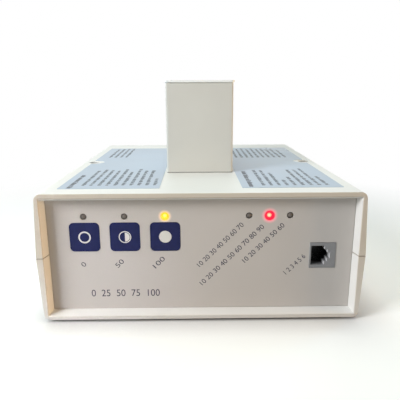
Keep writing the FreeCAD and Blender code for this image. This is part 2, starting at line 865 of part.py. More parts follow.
def make_keypad_board():
    """The board behind the front panel, its spacers, screws and cable connector."""
    board_y = (panel_back + s.board_gap, panel_back + s.board_gap + s.board_thick)
    board_x = (s.key_board_side_gap - cavity_half,
               jack_x - s.jack_width / 2 - s.jack_flange - s.key_board_jack_gap)
    board = box(board_x, board_y, around(key_board_z, s.key_board_height))
    places = [(x, key_board_z + (s.key_board_height / 2 - s.spacer_inset) * up)
              for x in (board_x[0] + s.spacer_inset, board_x[1] - s.spacer_inset) for up in (-1, 1)]
    clear = s.board_screw_radius + s.screw_play
    holes = [rod("Y", place, clear, (board_y[0] - past, board_y[1] + past)) for place in places]
    node("keypad_board", cut(board, *holes))
    spacers = []
    screws = []
    tip = board_y[0] - s.board_screw_grip
    for place in places:
        post = rod("Y", place, s.spacer_radius, (panel_back, board_y[0]))
        thread = rod("Y", place, s.board_screw_radius + s.thread_play,
                     (tip - s.hole_overrun / 2, board_y[0] + past))
        spacers.append(cut(post, thread))
        screws.append(screw("Y", place, board_y[1], tip, "board_screw", 1))
    node("board_spacers", group(*spacers))
    node("board_screws", group(*screws))


def make_leds():
    """Six indicator lights on the board, each reaching through the panel."""
    board_front = panel_back + s.board_gap
    tip = film_front - s.led_proud
    lights = []
    for x in led_xs:
        at_hole = (x, led_z)
        lights.append(fuse(
            rod("Y", at_hole, s.led_radius, (tip + s.led_radius, board_front)),
            ball("Y", at_hole, s.led_radius, tip + s.led_radius),
            rod("Y", at_hole, s.led_radius + s.led_flange, (board_front - s.led_flange_thick, board_front)),
        ))
    node("led_amber", lights.pop(2))
    node("led_red", lights.pop(3))
    node("leds_unlit", group(*lights))


def make_jack():
    """The modular jack: its slot opens at the left, with the latch notch at the right."""
    face = film_front - s.jack_proud
    body = box(around(jack_x, s.jack_width), (face, face + s.jack_depth),
               around(jack_z, s.jack_height))
    flange = box(around(jack_x, s.jack_width + s.jack_flange * 2),
                 (panel_back, panel_back + s.jack_flange_thick),
                 around(jack_z, s.jack_height + s.jack_flange * 2))
    slot_y = (face - past, face + s.jack_slot_depth)
    left = jack_x - s.jack_width / 2 + s.jack_side_wall
    step = left + s.jack_slot_width
    notch = step + s.jack_step_width
    hollows = [
        box((left, step), slot_y, around(jack_z, s.jack_slot_height)),
        box((left, notch), slot_y, around(jack_z, s.jack_step_height)),
        box((left, notch + s.jack_notch_width), slot_y, around(jack_z, s.jack_notch_height)),
    ]
    node("jack_body", cut(fuse(body, flange), *hollows))
    wires = []
    for index in range(CONTACT_COUNT):
        z = jack_z + s.contact_pitch * (index - (CONTACT_COUNT - 1) / 2)
        wires.append(box((left, left + s.contact_thick),
                         (slot_y[1] - s.contact_reach, slot_y[1]), around(z, s.contact_thick)))
    node("jack_contacts", group(*wires))


def make_labels():
    """Two thin adhesive labels on the case top, notched round the screw recesses."""
    inner = tower_half + s.label_tower_gap
    outer = half_width - s.label_side_margin
    for name, side in (("label_left", -1), ("label_right", 1)):
        x = (inner, outer) if side > 0 else (-outer, -inner)
        sheet_of_film = box(x, (front + s.label_front_margin, rear - s.label_rear_margin),
                            (top, top + s.label_thick))
        notch = rod("Z", (boss_x * side, ZERO), s.label_notch_radius, (top - past, top + past))
        node(name, cut(sheet_of_film, notch))


def make_tower():
    """The light head's casing with a floor, corner bosses and the port hole."""
    outer = rounded_block("Z", (-tower_half, tower_half), (tower_front, tower_rear),
                          (top, tower_top), s.tower_round)
    inner_half = tower_half - s.tower_wall
    hollow = box((-inner_half, inner_half), (tower_front + s.tower_wall, tower_rear - s.tower_wall),
                 (tower_base, tower_top + past))
    bosses = [rod("Z", place, s.tower_boss_radius, (tower_base, tower_base + s.tower_boss_height))
              for place in tower_screw_places]
    tools = [box((-shaft_half, shaft_half), shaft_y, (top - past, tower_base + past)),
             rod("Y", (ZERO, optic_z), s.port_neck_radius + s.port_play,
                 (tower_rear - s.tower_wall - past, tower_rear + past))]
    for place in tower_screw_places:
        tools.append(rod("Z", place, s.tower_screw_radius + s.thread_play,
                         (top - past, tower_base + s.tower_boss_height - s.hole_overrun / 2)))
    node("tower_shell", cut(fuse(cut(outer, hollow), *bosses), *tools))
    tip = tower_base + s.tower_boss_height - s.hole_overrun
    screws = [screw("Z", place, ceiling, tip, "tower_screw", -1) for place in tower_screw_places]
    node("tower_screws", group(*screws))


def make_tower_cap():
    """The lift-off cap: a thin overhanging plate with cooling slots and a skirt inside the casing."""
    plate = rounded_block("Z", around(ZERO, (tower_half + s.cap_overhang) * 2),
                          (tower_front - s.cap_overhang, tower_rear + s.cap_overhang),
                          (tower_top, tower_top + s.cap_thick), s.tower_round + s.cap_overhang)
    skirt_half = tower_half - s.tower_wall - s.cap_play
    skirt_end = tower_depth / 2 - s.tower_wall - s.cap_play
    skirt_z = (tower_top - s.cap_skirt, tower_top)
    skirt = box((-skirt_half, skirt_half), around(tower_middle, skirt_end * 2), skirt_z)
    bore_half = skirt_half - s.cap_skirt_thick
    bore_end = skirt_end - s.cap_skirt_thick
    bore = box((-bore_half, bore_half), around(tower_middle, bore_end * 2),
               (tower_top - s.cap_skirt - past, tower_top))
    vents = [box(around(ZERO, s.vent_length),
                 around(tower_middle + s.vent_pitch * (index - (VENT_COUNT - 1) / 2), s.vent_width),
                 (tower_top - past, tower_top + s.cap_thick + past))
             for index in range(VENT_COUNT)]
    node("tower_cap", cut(fuse(plate, cut(skirt, bore)), *vents))


def make_lamp():
    """A small reflector lamp that faces the rear, with its halogen capsule and two pins."""
    body = new_body()
    sketch = sketch_at(body, "Z", 0)
    ring_y = s.lamp_ring_thick
    mouth = lamp_mouth
    neck = s.lamp_neck_radius
    glass = s.lamp_glass
    draw_outline(sketch, [
        (ZERO, -s.lamp_bowl_length - s.lamp_neck_length),
        (neck, -s.lamp_bowl_length - s.lamp_neck_length),
        (neck, -s.lamp_bowl_length),
        (mouth, ZERO),
        (s.lamp_ring_radius, ZERO),
        (s.lamp_ring_radius, ring_y),
        (mouth - glass, ring_y),
        (mouth - glass, ZERO),
        (neck - glass, glass - s.lamp_bowl_length),
        (ZERO, glass - s.lamp_bowl_length),
    ])
    revolve(body, sketch, "Y_Axis")
    bind(body, {"Placement.Base.y": lamp_plane, "Placement.Base.z": optic_z})
    pins = [rod("Y", (s.lamp_pin_spread / 2 * side, optic_z), s.lamp_pin_radius,
                (socket_y[1] - s.lamp_pin_length, socket_y[1])) for side in (-1, 1)]
    node("lamp_reflector", fuse(body, *pins))
    seat = lamp_back + s.lamp_glass
    stem = rod("Y", (ZERO, optic_z), s.capsule_radius, (seat, seat + s.capsule_length - s.capsule_radius))
    tip = ball("Y", (ZERO, optic_z), s.capsule_radius, seat + s.capsule_length - s.capsule_radius)
    node("lamp_capsule", fuse(stem, tip))
    block = box(around(ZERO, s.socket_width), socket_y, around(optic_z, s.socket_height))
    holes = [rod("Y", (s.lamp_pin_spread / 2 * side, optic_z), s.lamp_pin_radius + s.thread_play,
                 (socket_y[1] - s.lamp_pin_length - s.hole_overrun, socket_y[1] + past)) for side in (-1, 1)]
    node("lamp_socket", cut(block, *holes))


def make_lamp_holders():
    """Two uprights in the head: one carries the lamp's ring, one the heat filter."""
    plate_z = (tower_base, optic_z + s.bracket_rise)
    half = tower_half - s.tower_wall - s.bracket_side_gap
    upright = box((-half, half), bracket_y, plate_z)
    foot = box((-half, half), (bracket_y[0] - s.bracket_foot, bracket_y[0]),
               (tower_base, tower_base + s.bracket_thick))
    mouth = rod("Y", (ZERO, optic_z), lamp_mouth + s.bracket_play,
                (bracket_y[0] - past, bracket_y[1] + past))
    node("lamp_bracket", cut(fuse(upright, foot), mouth))
    at_axis = (ZERO, optic_z)
    seat_end = holder_y[0] + s.filter_thick
    seat = rod("Y", at_axis, filter_radius + s.bracket_play, (holder_y[0] - past, seat_end))
    light = rod("Y", at_axis, filter_radius - s.filter_seat, (holder_y[0], holder_y[1] + past))
    node("filter_holder", cut(box((-half, half), holder_y, plate_z), seat, light))
    node("heat_filter", rod("Y", at_axis, filter_radius, (holder_y[0], seat_end)))


port_mouth = tower_rear + s.port_flange_thick + s.port_barrel_length
clamp_y = port_mouth - s.port_barrel_length / 2
barrel_top = optic_z + s.port_barrel_radius
clamp_tip = optic_z + s.port_bore_radius + s.clamp_tip_gap
knob_low = barrel_top + s.clamp_knob_gap


def make_light_port():
    """The bored port on the head's rear, its nut inside, and the clamp screw with its knob."""
    at_axis = (ZERO, optic_z)
    solid = fuse(
        rod("Y", at_axis, s.port_flange_radius, (tower_rear, tower_rear + s.port_flange_thick)),
        rod("Y", at_axis, s.port_barrel_radius, (tower_rear, port_mouth)),
        rod("Y", at_axis, s.port_neck_radius, (port_start, tower_rear)),
    )
    bore = rod("Y", at_axis, s.port_bore_radius, (port_start - past, port_mouth + past))
    thread = rod("Z", (ZERO, clamp_y), s.clamp_radius + s.clamp_play, (optic_z, barrel_top + past))
    node("light_port", cut(solid, bore, thread))
    nut_y = (tower_rear - s.tower_wall - s.port_nut_thick, tower_rear - s.tower_wall)
    blank = hexagon("Y", at_axis, s.port_nut_width, nut_y)
    hole = rod("Y", at_axis, s.port_neck_radius + s.thread_play, (nut_y[0] - past, nut_y[1] + past))
    node("port_nut", cut(blank, hole))
    node("clamp_screw", rod("Z", (ZERO, clamp_y), s.clamp_radius,
                            (clamp_tip, knob_low + s.clamp_head_length)))
    node("clamp_knob", make_knob())


def make_knob():
    """A knurled knob, turned, pocketed for its screw and grooved by a polar pattern."""
    body = new_body()
    disc = sketch_at(body, "Z", knob_low)
    draw_circle(disc, (ZERO, ZERO), s.clamp_knob_radius)
    extrude(body, disc, "Z", s.clamp_knob_height)
    seat = sketch_at(body, "Z", knob_low - s.clamp_play)
    draw_circle(seat, (ZERO, ZERO), s.clamp_radius + s.clamp_play)
    extrude(body, seat, "Z", s.clamp_head_length + s.clamp_play, removing=True)
    groove = sketch_at(body, "Z", knob_low - s.knurl_depth)
    draw_circle(groove, (s.clamp_knob_radius + s.knurl_depth / 2, ZERO), s.knurl_depth)
    flute = extrude(body, groove, "Z", s.clamp_knob_height + s.knurl_depth * 2, removing=True)
    pattern = body.newObject("PartDesign::PolarPattern", "Knurl")
    pattern.Originals = [flute]
    turning = next(item for item in body.Origin.OriginFeatures if item.Role == "Z_Axis")
    pattern.Axis = (turning, [""])
    pattern.Angle = 360
    pattern.Occurrences = KNURL_COUNT
    body.Tip = pattern
    bind(body, {"Placement.Base.y": clamp_y})
    return body


def make_rear_panel():
    """The rear plate with its fan, inlet and switch openings."""
    plate = (rear_inner, rear_outer)
    through = (rear_inner - past, rear_outer + past)
    holes = [rod("Y", (fan_x, fan_z), s.fan_duct_radius, through)]
    holes += [rod("Y", place, s.fan_screw_radius + s.screw_play, through) for place in fan_screw_places]
    holes.append(box(around(inlet_x, s.inlet_body_width + s.inlet_play * 2), through,
                     around(inlet_z, s.inlet_body_height + s.inlet_play * 2)))
    holes.append(box(around(rocker_x, s.rocker_frame_width + s.inlet_play * 2), through,
                     around(inlet_z, s.rocker_frame_height + s.inlet_play * 2)))
    node("rear_panel", cut(panel_plate(plate), *holes))


def make_fan():
    """The cooling fan: frame with hub and struts, bladed rotor, wire guard, screws and nuts."""
    at_axis = (fan_x, fan_z)
    block = rounded_block("Y", around(fan_x, s.fan_size), fan_y, around(fan_z, s.fan_size), s.fan_round)
    through = (fan_y[0] - past, fan_y[1] + past)
    duct = rod("Y", at_axis, s.fan_duct_radius, through)
    holes = [rod("Y", place, s.fan_hole_radius, through) for place in fan_screw_places]
    hub_y = (fan_y[1] - s.fan_hub_thick, fan_y[1])
    reach = s.fan_duct_radius + s.fan_strut_width / 2
    struts = [box(around(fan_x, reach * 2), hub_y, around(fan_z, s.fan_strut_width)),
              box(around(fan_x, s.fan_strut_width), hub_y, around(fan_z, reach * 2))]
    carrier = fuse(cut(block, duct, *holes), rod("Y", at_axis, s.fan_hub_radius, hub_y), *struts)
    bearing = rod("Y", at_axis, s.fan_shaft_radius + s.fan_shaft_play, (hub_y[0] - past, hub_y[1] + past))
    node("fan_frame", cut(carrier, bearing))

    rotor_y = (hub_y[0] - s.fan_rotor_gap - s.fan_rotor_length, hub_y[0] - s.fan_rotor_gap)
    blades = []
    tip_radius = s.fan_duct_radius - s.fan_tip_gap
    for index in range(BLADE_COUNT):
        blade = doc.addObject("Part::Box", "Blade")
        bind(blade, {"Length": tip_radius, "Width": s.fan_blade_chord, "Height": s.fan_blade_thick})
        lean = FreeCAD.Rotation(FreeCAD.Vector(1, 0, 0), BLADE_ANGLE)
        spin = FreeCAD.Rotation(FreeCAD.Vector(0, 1, 0), 360.0 * index / BLADE_COUNT)
        turned = spin.multiply(lean)
        corner = turned.multVec(FreeCAD.Vector(0, 1, 0))
        blade.Placement = FreeCAD.Placement(FreeCAD.Vector(), turned)
        half_chord = s.fan_blade_chord / 2
        bind(blade, {
            "Placement.Base.x": fan_x - half_chord * corner.x,
            "Placement.Base.y": (rotor_y[0] + rotor_y[1]) / 2 - half_chord * corner.y,
            "Placement.Base.z": fan_z - half_chord * corner.z,
        })
        blades.append(blade)
    swept = common(fuse(*blades), rod("Y", at_axis, tip_radius, rotor_y))
    hub = rod("Y", at_axis, s.fan_hub_radius, rotor_y)
    shaft = rod("Y", at_axis, s.fan_shaft_radius, (rotor_y[0], hub_y[1] - s.fan_shaft_play))
    node("fan_rotor", fuse(swept, hub, shaft))

    wire = s.guard_wire_radius
    ring_level = rear_outer + wire
    rings = [ring("Y", at_axis, s.fan_duct_radius * share, wire, ring_level) for share in GUARD_RING_SHARES]
    eye_y = (rear_outer, rear_outer + wire * 2)
    eyes = [rod("Y", place, s.guard_eye_radius, eye_y) for place in fan_screw_places]
    bar_half = s.fan_hole_spacing / math.sqrt(2) - s.guard_eye_radius + wire
    bars = []
    for angle in (45, -45):
        bar = doc.addObject("Part::Box", "Bar")
        turned = FreeCAD.Rotation(FreeCAD.Vector(0, 1, 0), angle)
        way = turned.multVec(FreeCAD.Vector(0, 0, 1))
        aside = turned.multVec(FreeCAD.Vector(1, 0, 0))
        bar.Placement = FreeCAD.Placement(FreeCAD.Vector(), turned)
        bind(bar, {
            "Length": wire * 2,
            "Width": s.guard_bar_depth,
            "Height": bar_half * 2,
            "Placement.Base.x": fan_x - bar_half * way.x - wire * aside.x,
            "Placement.Base.y": ring_level,
            "Placement.Base.z": fan_z - bar_half * way.z - wire * aside.z,
        })
        bars.append(bar)
    clear = [rod("Y", place, s.fan_screw_radius + s.screw_play, (eye_y[0] - past, eye_y[1] + past))
             for place in fan_screw_places]
    node("fan_guard", cut(fuse(*rings, *eyes, *bars), *clear))

    nut_y = (fan_y[0] - s.fan_nut_thick, fan_y[0])
    tip = nut_y[0] - s.fan_nut_thick / 2
    screws = [screw("Y", place, eye_y[1], tip, "fan_screw", 1) for place in fan_screw_places]
    node("fan_screws", group(*screws))
    nuts = [cut(hexagon("Y", place, s.fan_nut_width, nut_y),
                rod("Y", place, s.fan_screw_radius + s.thread_play, (nut_y[0] - past, nut_y[1] + past)))
            for place in fan_screw_places]
    node("fan_nuts", group(*nuts))


def make_inlet():
    """The mains inlet with its blades, and the fuse drawer above them."""
    face = rear_outer + s.inlet_flange_thick
    body_y = (rear_outer - s.inlet_body_depth, rear_outer)
    flange = rounded_block("Y", around(inlet_x, s.inlet_flange_width), (rear_outer, face),
                           around(inlet_z, s.inlet_flange_height), s.inlet_flange_thick / 2)
    block = box(around(inlet_x, s.inlet_body_width), body_y, around(inlet_z, s.inlet_body_height))
    hole_y = (face - s.socket_hole_depth, face)
    mouth = new_body()
    sketch = sketch_at(mouth, "Y", hole_y[0])
    half = s.socket_hole_width / 2
    low = socket_z - s.socket_hole_height / 2
    high = socket_z + s.socket_hole_height / 2
    draw_outline(sketch, [
        (inlet_x - half, low), (inlet_x + half, low),
        (inlet_x + half, high - s.socket_hole_cut), (inlet_x + half - s.socket_hole_cut, high),
        (inlet_x - half + s.socket_hole_cut, high), (inlet_x - half, high - s.socket_hole_cut),
    ])
    extrude(mouth, sketch, "Y", s.socket_hole_depth + past)
    well = box(around(inlet_x, s.drawer_width + s.inlet_play * 2),
               (face - s.drawer_depth - s.inlet_play, face + past),
               around(drawer_z, s.drawer_height + s.inlet_play * 2))
    slots = []
    pins = []
    for step, rise in ((-1, -1), (0, 1), (1, -1)):
        x = inlet_x + s.pin_spread * step
        z = socket_z + s.pin_offset * rise
        blade = box(around(x, s.pin_thick), (body_y[0] - s.pin_tab, hole_y[0] + s.pin_length),
                    around(z, s.pin_width))
        pins.append(blade)
        slots.append(box(around(x, s.pin_thick), (body_y[0] - past, hole_y[0] + past),
                         around(z, s.pin_width)))
    node("inlet_body", cut(fuse(flange, block), mouth, well, *slots))
    node("inlet_pins", group(*pins))

    lid_z = around(drawer_z, s.drawer_height + s.drawer_face_margin * 2)
    lid = box(around(inlet_x, s.drawer_width + s.drawer_face_margin * 2),
              (face, face + s.drawer_face), lid_z)
    tray = box(around(inlet_x, s.drawer_width), (face - s.drawer_depth, face),
               around(drawer_z, s.drawer_height))
    fuse_y = around(face - s.drawer_depth / 2, s.fuse_length)
    bed = box(around(inlet_x, s.fuse_radius * 2 + s.inlet_play * 2),
              (fuse_y[0] - s.inlet_play, fuse_y[1] + s.inlet_play),
              (drawer_z - s.fuse_radius, drawer_z + s.drawer_height))
    node("fuse_drawer", cut(fuse(lid, tray), bed))
    node("fuse", fuse(
        rod("Y", (inlet_x, drawer_z), s.fuse_radius - s.inlet_play, fuse_y),
        rod("Y", (inlet_x, drawer_z), s.fuse_radius, (fuse_y[0], fuse_y[0] + s.fuse_cap_length)),
        rod("Y", (inlet_x, drawer_z), s.fuse_radius, (fuse_y[1] - s.fuse_cap_length, fuse_y[1])),
    ))


socket_z = inlet_z - s.socket_hole_drop
drawer_z = inlet_z + s.drawer_rise


def make_switch():
    """The mains switch: a frame in the rear panel and a rocker that tilts in it."""
    face = rear_outer + s.rocker_wall
    flange = box(around(rocker_x, s.rocker_flange_width), (rear_outer, face),
                 around(inlet_z, s.rocker_flange_height))
    block = box(around(rocker_x, s.rocker_frame_width), (rear_outer - s.rocker_frame_depth, rear_outer),
                around(inlet_z, s.rocker_frame_height))
    hollow_half = s.rocker_frame_width / 2 - s.rocker_wall
    hollow_up = s.rocker_frame_height / 2 - s.rocker_wall
    hollow = box(around(rocker_x, hollow_half * 2),
                 (rear_outer - s.rocker_frame_depth + s.rocker_wall, face + past),
                 around(inlet_z, hollow_up * 2))
    pivot = (rear_outer, inlet_z)
    frame_side = around(rocker_x, s.rocker_frame_width)
    seat = rod("X", pivot, s.rocker_pin_radius + s.rocker_pin_play, frame_side)
    node("switch_frame", cut(fuse(flange, block), hollow, seat))

    rocker = new_body()
    half = hollow_half - s.rocker_gap
    up = hollow_up - s.rocker_gap * 2
    sketch = sketch_at(rocker, "X", -half)
    draw_outline(sketch, [
        (s.rocker_drop * 2, up), (s.rocker_drop, ZERO), (s.rocker_drop * 2, -up),
        (-s.rocker_drop, -up), (-s.rocker_depth, ZERO), (-s.rocker_drop, up),
    ])
    extrude(rocker, sketch, "X", half * 2)
    rocker.Placement = FreeCAD.Placement(
        FreeCAD.Vector(), FreeCAD.Rotation(FreeCAD.Vector(1, 0, 0), -ROCKER_TILT))
    bind(rocker, {"Placement.Base.x": rocker_x, "Placement.Base.y": rear_outer,
                  "Placement.Base.z": inlet_z})
    pin_end = s.rocker_frame_width / 2 - s.rocker_pin_play
    pin = rod("X", pivot, s.rocker_pin_radius, (rocker_x - pin_end, rocker_x + pin_end))
    node("switch_rocker", fuse(rocker, pin))


def make_transformer():
    """A framed transformer: laminated core, coil, strap and its two screws."""
    core_z = (floor, floor + s.core_height)
    middle_z = floor + s.core_height / 2
    window_x = s.core_leg / 2
    window_up = s.core_height / 2 - s.core_leg / 2
    stack_y = around(core_y, s.core_stack)
    blank = box(around(core_x, s.core_width), stack_y, core_z)
    through = (stack_y[0] - past, stack_y[1] + past)
    windows = [box(around(core_x + (s.core_leg / 2 + window_x / 2) * side, window_x), through,
                   around(middle_z, window_up * 2)) for side in (-1, 1)]
    node("transformer_core", cut(blank, *windows))
    coil_half = s.core_leg / 2 + window_x - s.coil_play
    coil = rounded_block("Z", around(core_x, coil_half * 2),
                         around(core_y, s.core_stack + s.coil_overhang * 2),
                         around(middle_z, (window_up - s.coil_play) * 2), s.edge_round)
    leg = box(around(core_x, s.core_leg + s.coil_play * 2),
              around(core_y, s.core_stack + s.coil_play * 2), core_z)
    node("transformer_coil", cut(coil, leg))

    strap_y = around(core_y, s.strap_width)
    side_x = s.core_width / 2 + s.strap_thick
    foot_z = (floor + s.strap_boss_height, floor + s.strap_boss_height + s.strap_thick)
    over = box(around(core_x, side_x * 2), strap_y, (core_z[1], core_z[1] + s.strap_thick))
    pieces = [over]
    holes = []
    screws = []
    for side in (-1, 1):
        edge = core_x + s.core_width / 2 * side
        far = core_x + side_x * side
        end = far + s.strap_foot * side
        pieces.append(box((edge, far) if side > 0 else (far, edge), strap_y, (foot_z[0], core_z[1])))
        pieces.append(box((edge, end) if side > 0 else (end, edge), strap_y, foot_z))
        place = (strap_boss_x(side), core_y)
        holes.append(rod("Z", place, s.strap_screw_radius + s.screw_play,
                         (foot_z[0] - past, foot_z[1] + past)))
        screws.append(screw("Z", place, foot_z[1], floor + s.hole_overrun / 2, "strap_screw", 1))
    node("transformer_bracket", cut(fuse(*pieces), *holes))
    node("transformer_screws", group(*screws))


board_low = floor + s.standoff_height
board_high = board_low + s.board_thick
board_x = (s.main_board_side_gap - cavity_half,
           core_x - s.core_width / 2 - s.strap_thick - s.strap_foot - s.main_board_strap_gap)
board_middle = (board_x[0] + board_x[1]) / 2
lead_x = board_x[1] - s.terminal_width / 2
lead_y = socket_y[1] - s.socket_depth / 2
lead_low = board_high + s.terminal_height
lead_high = optic_z - s.socket_height / 2
chip_y0 = lead_y + s.terminal_depth / 2 + s.chip_terminal_gap
chip_y = (chip_y0, chip_y0 + s.chip_length)
sink_y0 = chip_y[1] + s.heatsink_chip_gap
sink_y = (sink_y0, sink_y0 + s.heatsink_depth)
can_y = sink_y[1] + s.cap_can_sink_gap + s.cap_can_radius
board_y = (front + s.main_board_front_gap, can_y + s.cap_can_radius + s.cap_can_rear_gap)
header_z = (board_high, board_high + s.header_height)
header_y = (board_y[0] + s.header_edge_gap, board_y[0] + s.header_edge_gap + s.header_depth)
ribbon_top = key_board_z - s.key_board_height / 2


def make_control_board():
    """The board on the case floor with its main components."""
    places = [(x, y) for x in (board_x[0] + s.standoff_inset, board_x[1] - s.standoff_inset)
              for y in (board_y[0] + s.standoff_inset, board_y[1] - s.standoff_inset)]
    board = box(board_x, board_y, (board_low, board_high))
    clear = s.board_screw_radius + s.screw_play
    holes = [rod("Z", place, clear, (board_low - past, board_high + past)) for place in places]
    node("control_board", cut(board, *holes))
    tip = board_low - s.board_screw_grip
    posts = []
    screws = []
    for place in places:
        thread = rod("Z", place, s.board_screw_radius + s.thread_play,
                     (tip - s.hole_overrun / 2, board_low + past))
        posts.append(cut(hexagon("Z", place, s.standoff_radius * 2, (floor, board_low)), thread))
        screws.append(screw("Z", place, board_high, tip, "board_screw", 1))
    node("board_standoffs", group(*posts))
    node("standoff_screws", group(*screws))

    chip_z = (board_high, board_high + s.chip_height)
    chips = [box(around(board_middle + (s.chip_width + s.chip_gap) * step, s.chip_width),
                 chip_y, chip_z) for step in (-1, 0, 1)]
    node("ic_packages", group(*chips))

    sink_x = around(board_middle, s.heatsink_width)
    sink_z = (board_high, board_high + s.heatsink_height)
    base = box(sink_x, (sink_y[0], sink_y[0] + s.heatsink_base), sink_z)
    fin_pitch = (s.heatsink_width - s.fin_thick) / (FIN_COUNT - 1)
    fins = [box((sink_x[0] + fin_pitch * index, sink_x[0] + fin_pitch * index + s.fin_thick),
                sink_y, sink_z) for index in range(FIN_COUNT)]
    node("heatsink", fuse(base, *fins))
    node("power_transistor", box(around(board_middle, s.transistor_width),
                                 (sink_y[0] - s.transistor_thick, sink_y[0]),
                                 (board_high, board_high + s.transistor_height)))

    can_z = (board_high, board_high + s.cap_can_height)
    can_aside = s.cap_can_radius + s.cap_can_gap / 2
    cans = [rod("Z", (board_middle + can_aside * side, can_y), s.cap_can_radius, can_z)
            for side in (-1, 1)]
    node("capacitors", group(*cans))

    block = box(around(lead_x, s.terminal_width), around(lead_y, s.terminal_depth),
                (board_high, board_high + s.terminal_height))
    node("terminal_block", block)
    panel_back_y = panel_back + s.board_gap + s.board_thick
    header = box(around(board_middle, s.header_width), header_y, header_z)
    mate = box(around(board_middle, s.header_width), (panel_back_y, panel_back_y + s.header_depth / 2),
               (ribbon_top, ribbon_top + s.header_height))
    node("ribbon_connectors", group(header, mate))


def make_ribbon():
    """The flat cable from the key pad board down to the control board, bent once."""
    board_y1 = panel_back + s.board_gap + s.board_thick
    drop_y = (board_y1 + s.ribbon_board_gap, board_y1 + s.ribbon_board_gap + s.ribbon_thick)
    run_z = around(board_high + s.header_height / 2, s.ribbon_thick)
    body = new_body()
    half = s.ribbon_width / 2
    sketch = sketch_at(body, "X", board_middle - half)
    draw_outline(sketch, [
        (drop_y[0], ribbon_top), (drop_y[0], run_z[0]), (header_y[0], run_z[0]),
        (header_y[0], run_z[1]), (drop_y[1], run_z[1]), (drop_y[1], ribbon_top),
    ])
    extrude(body, sketch, "X", s.ribbon_width)
    for level, radius in ((run_z[1], s.ribbon_bend), (run_z[0], s.ribbon_bend + s.ribbon_thick)):
        corner_y = drop_y[1] if level is run_z[1] else drop_y[0]
        round_edges(body, radius, lambda edge: runs_along(edge, "X")
                    and abs(edge.CenterOfMass.z - level.value) < TINY
                    and abs(edge.CenterOfMass.y - corner_y.value) < TINY)
    node("ribbon_cable", body)


def make_lamp_leads():
    """Two insulated leads from the terminal block up through the head's floor to the socket."""
    leads = []
    for side in (-1, 1):
        x_low = (lead_x + s.lead_spread / 2 * side).value
        x_high = (s.lead_spread / 2 * side).value
        y = lead_y.value
        low, high = lead_low.value, lead_high.value
        bend = s.lead_bend.value
        knees = [low + bend, low + bend + s.lead_slope_height.value]
        corners = [FreeCAD.Vector(x_low, y, low), FreeCAD.Vector(x_low, y, knees[0]),
                   FreeCAD.Vector(x_high, y, knees[1]), FreeCAD.Vector(x_high, y, high)]
        wire = rounded_path(corners, bend)
        profile = Part.Wire(Part.Circle(corners[0], FreeCAD.Vector(0, 0, 1), s.lead_radius.value).toShape())
        leads.append(wire.makePipeShell([profile], True, False))
    lead_pair = doc.addObject("Part::Feature", "Leads")
    lead_pair.Shape = Part.makeCompound(leads)
    node("lamp_leads", lead_pair)


def rounded_path(corners, radius):
    """Straight runs through the corners, joined by tangent arcs of one radius."""
    edges = []
    start = corners[0]
    for before, corner, after in zip(corners, corners[1:], corners[2:]):
        back = (before - corner).normalize()
        ahead = (after - corner).normalize()
        half_angle = back.getAngle(ahead) / 2
        reach = radius / math.tan(half_angle)
        centre = corner + (back + ahead).normalize() * (radius / math.sin(half_angle))
        middle = centre + (corner - centre).normalize() * radius
        enter = corner + back * reach
        leave = corner + ahead * reach
        edges.append(Part.LineSegment(start, enter).toShape())
        edges.append(Part.Arc(enter, middle, leave).toShape())
        start = leave
    edges.append(Part.LineSegment(start, corners[-1]).toShape())
    return Part.Wire(edges)


make_shells()
make_case_hardware()
make_front_panel()
make_keys()
make_keypad_board()
make_leds()
make_jack()
make_labels()
make_tower()
make_tower_cap()
make_lamp()
make_lamp_holders()
make_light_port()
make_rear_panel()
make_fan()
make_inlet()
make_switch()
make_transformer()
make_control_board()
make_ribbon()
make_lamp_leads()

doc.recompute()
for thing in doc.Objects:
    if "Invalid" in thing.State or "Error" in thing.State:
        raise RuntimeError(f"{thing.Name} ({thing.Label}) failed: {thing.State}")
for pocket in doc.findObjects("PartDesign::Pocket"):
    if pocket.Shape.Volume >= pocket.BaseFeature.Shape.Volume:
        raise RuntimeError(f"{pocket.Name} removes nothing")
for name, thing in nodes.items():
    if thing.Shape.isNull() or not thing.Shape.isValid() or not thing.Shape.Solids:
        raise RuntimeError(f"{name} has no valid solid")

os.makedirs("parts", exist_ok=True)
for name, thing in nodes.items():
    thing.Shape.exportStep(f"parts/{name}.step")
    print(f"{name}: {len(thing.Shape.Solids)} solid(s), {thing.Shape.Volume:.1f} mm3")
print(len(nodes), "nodes")
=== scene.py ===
"""Looks of the fibre optic illuminator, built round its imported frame."""
import json
import math
import random

import bmesh
import bpy
from mathutils import Matrix, Vector


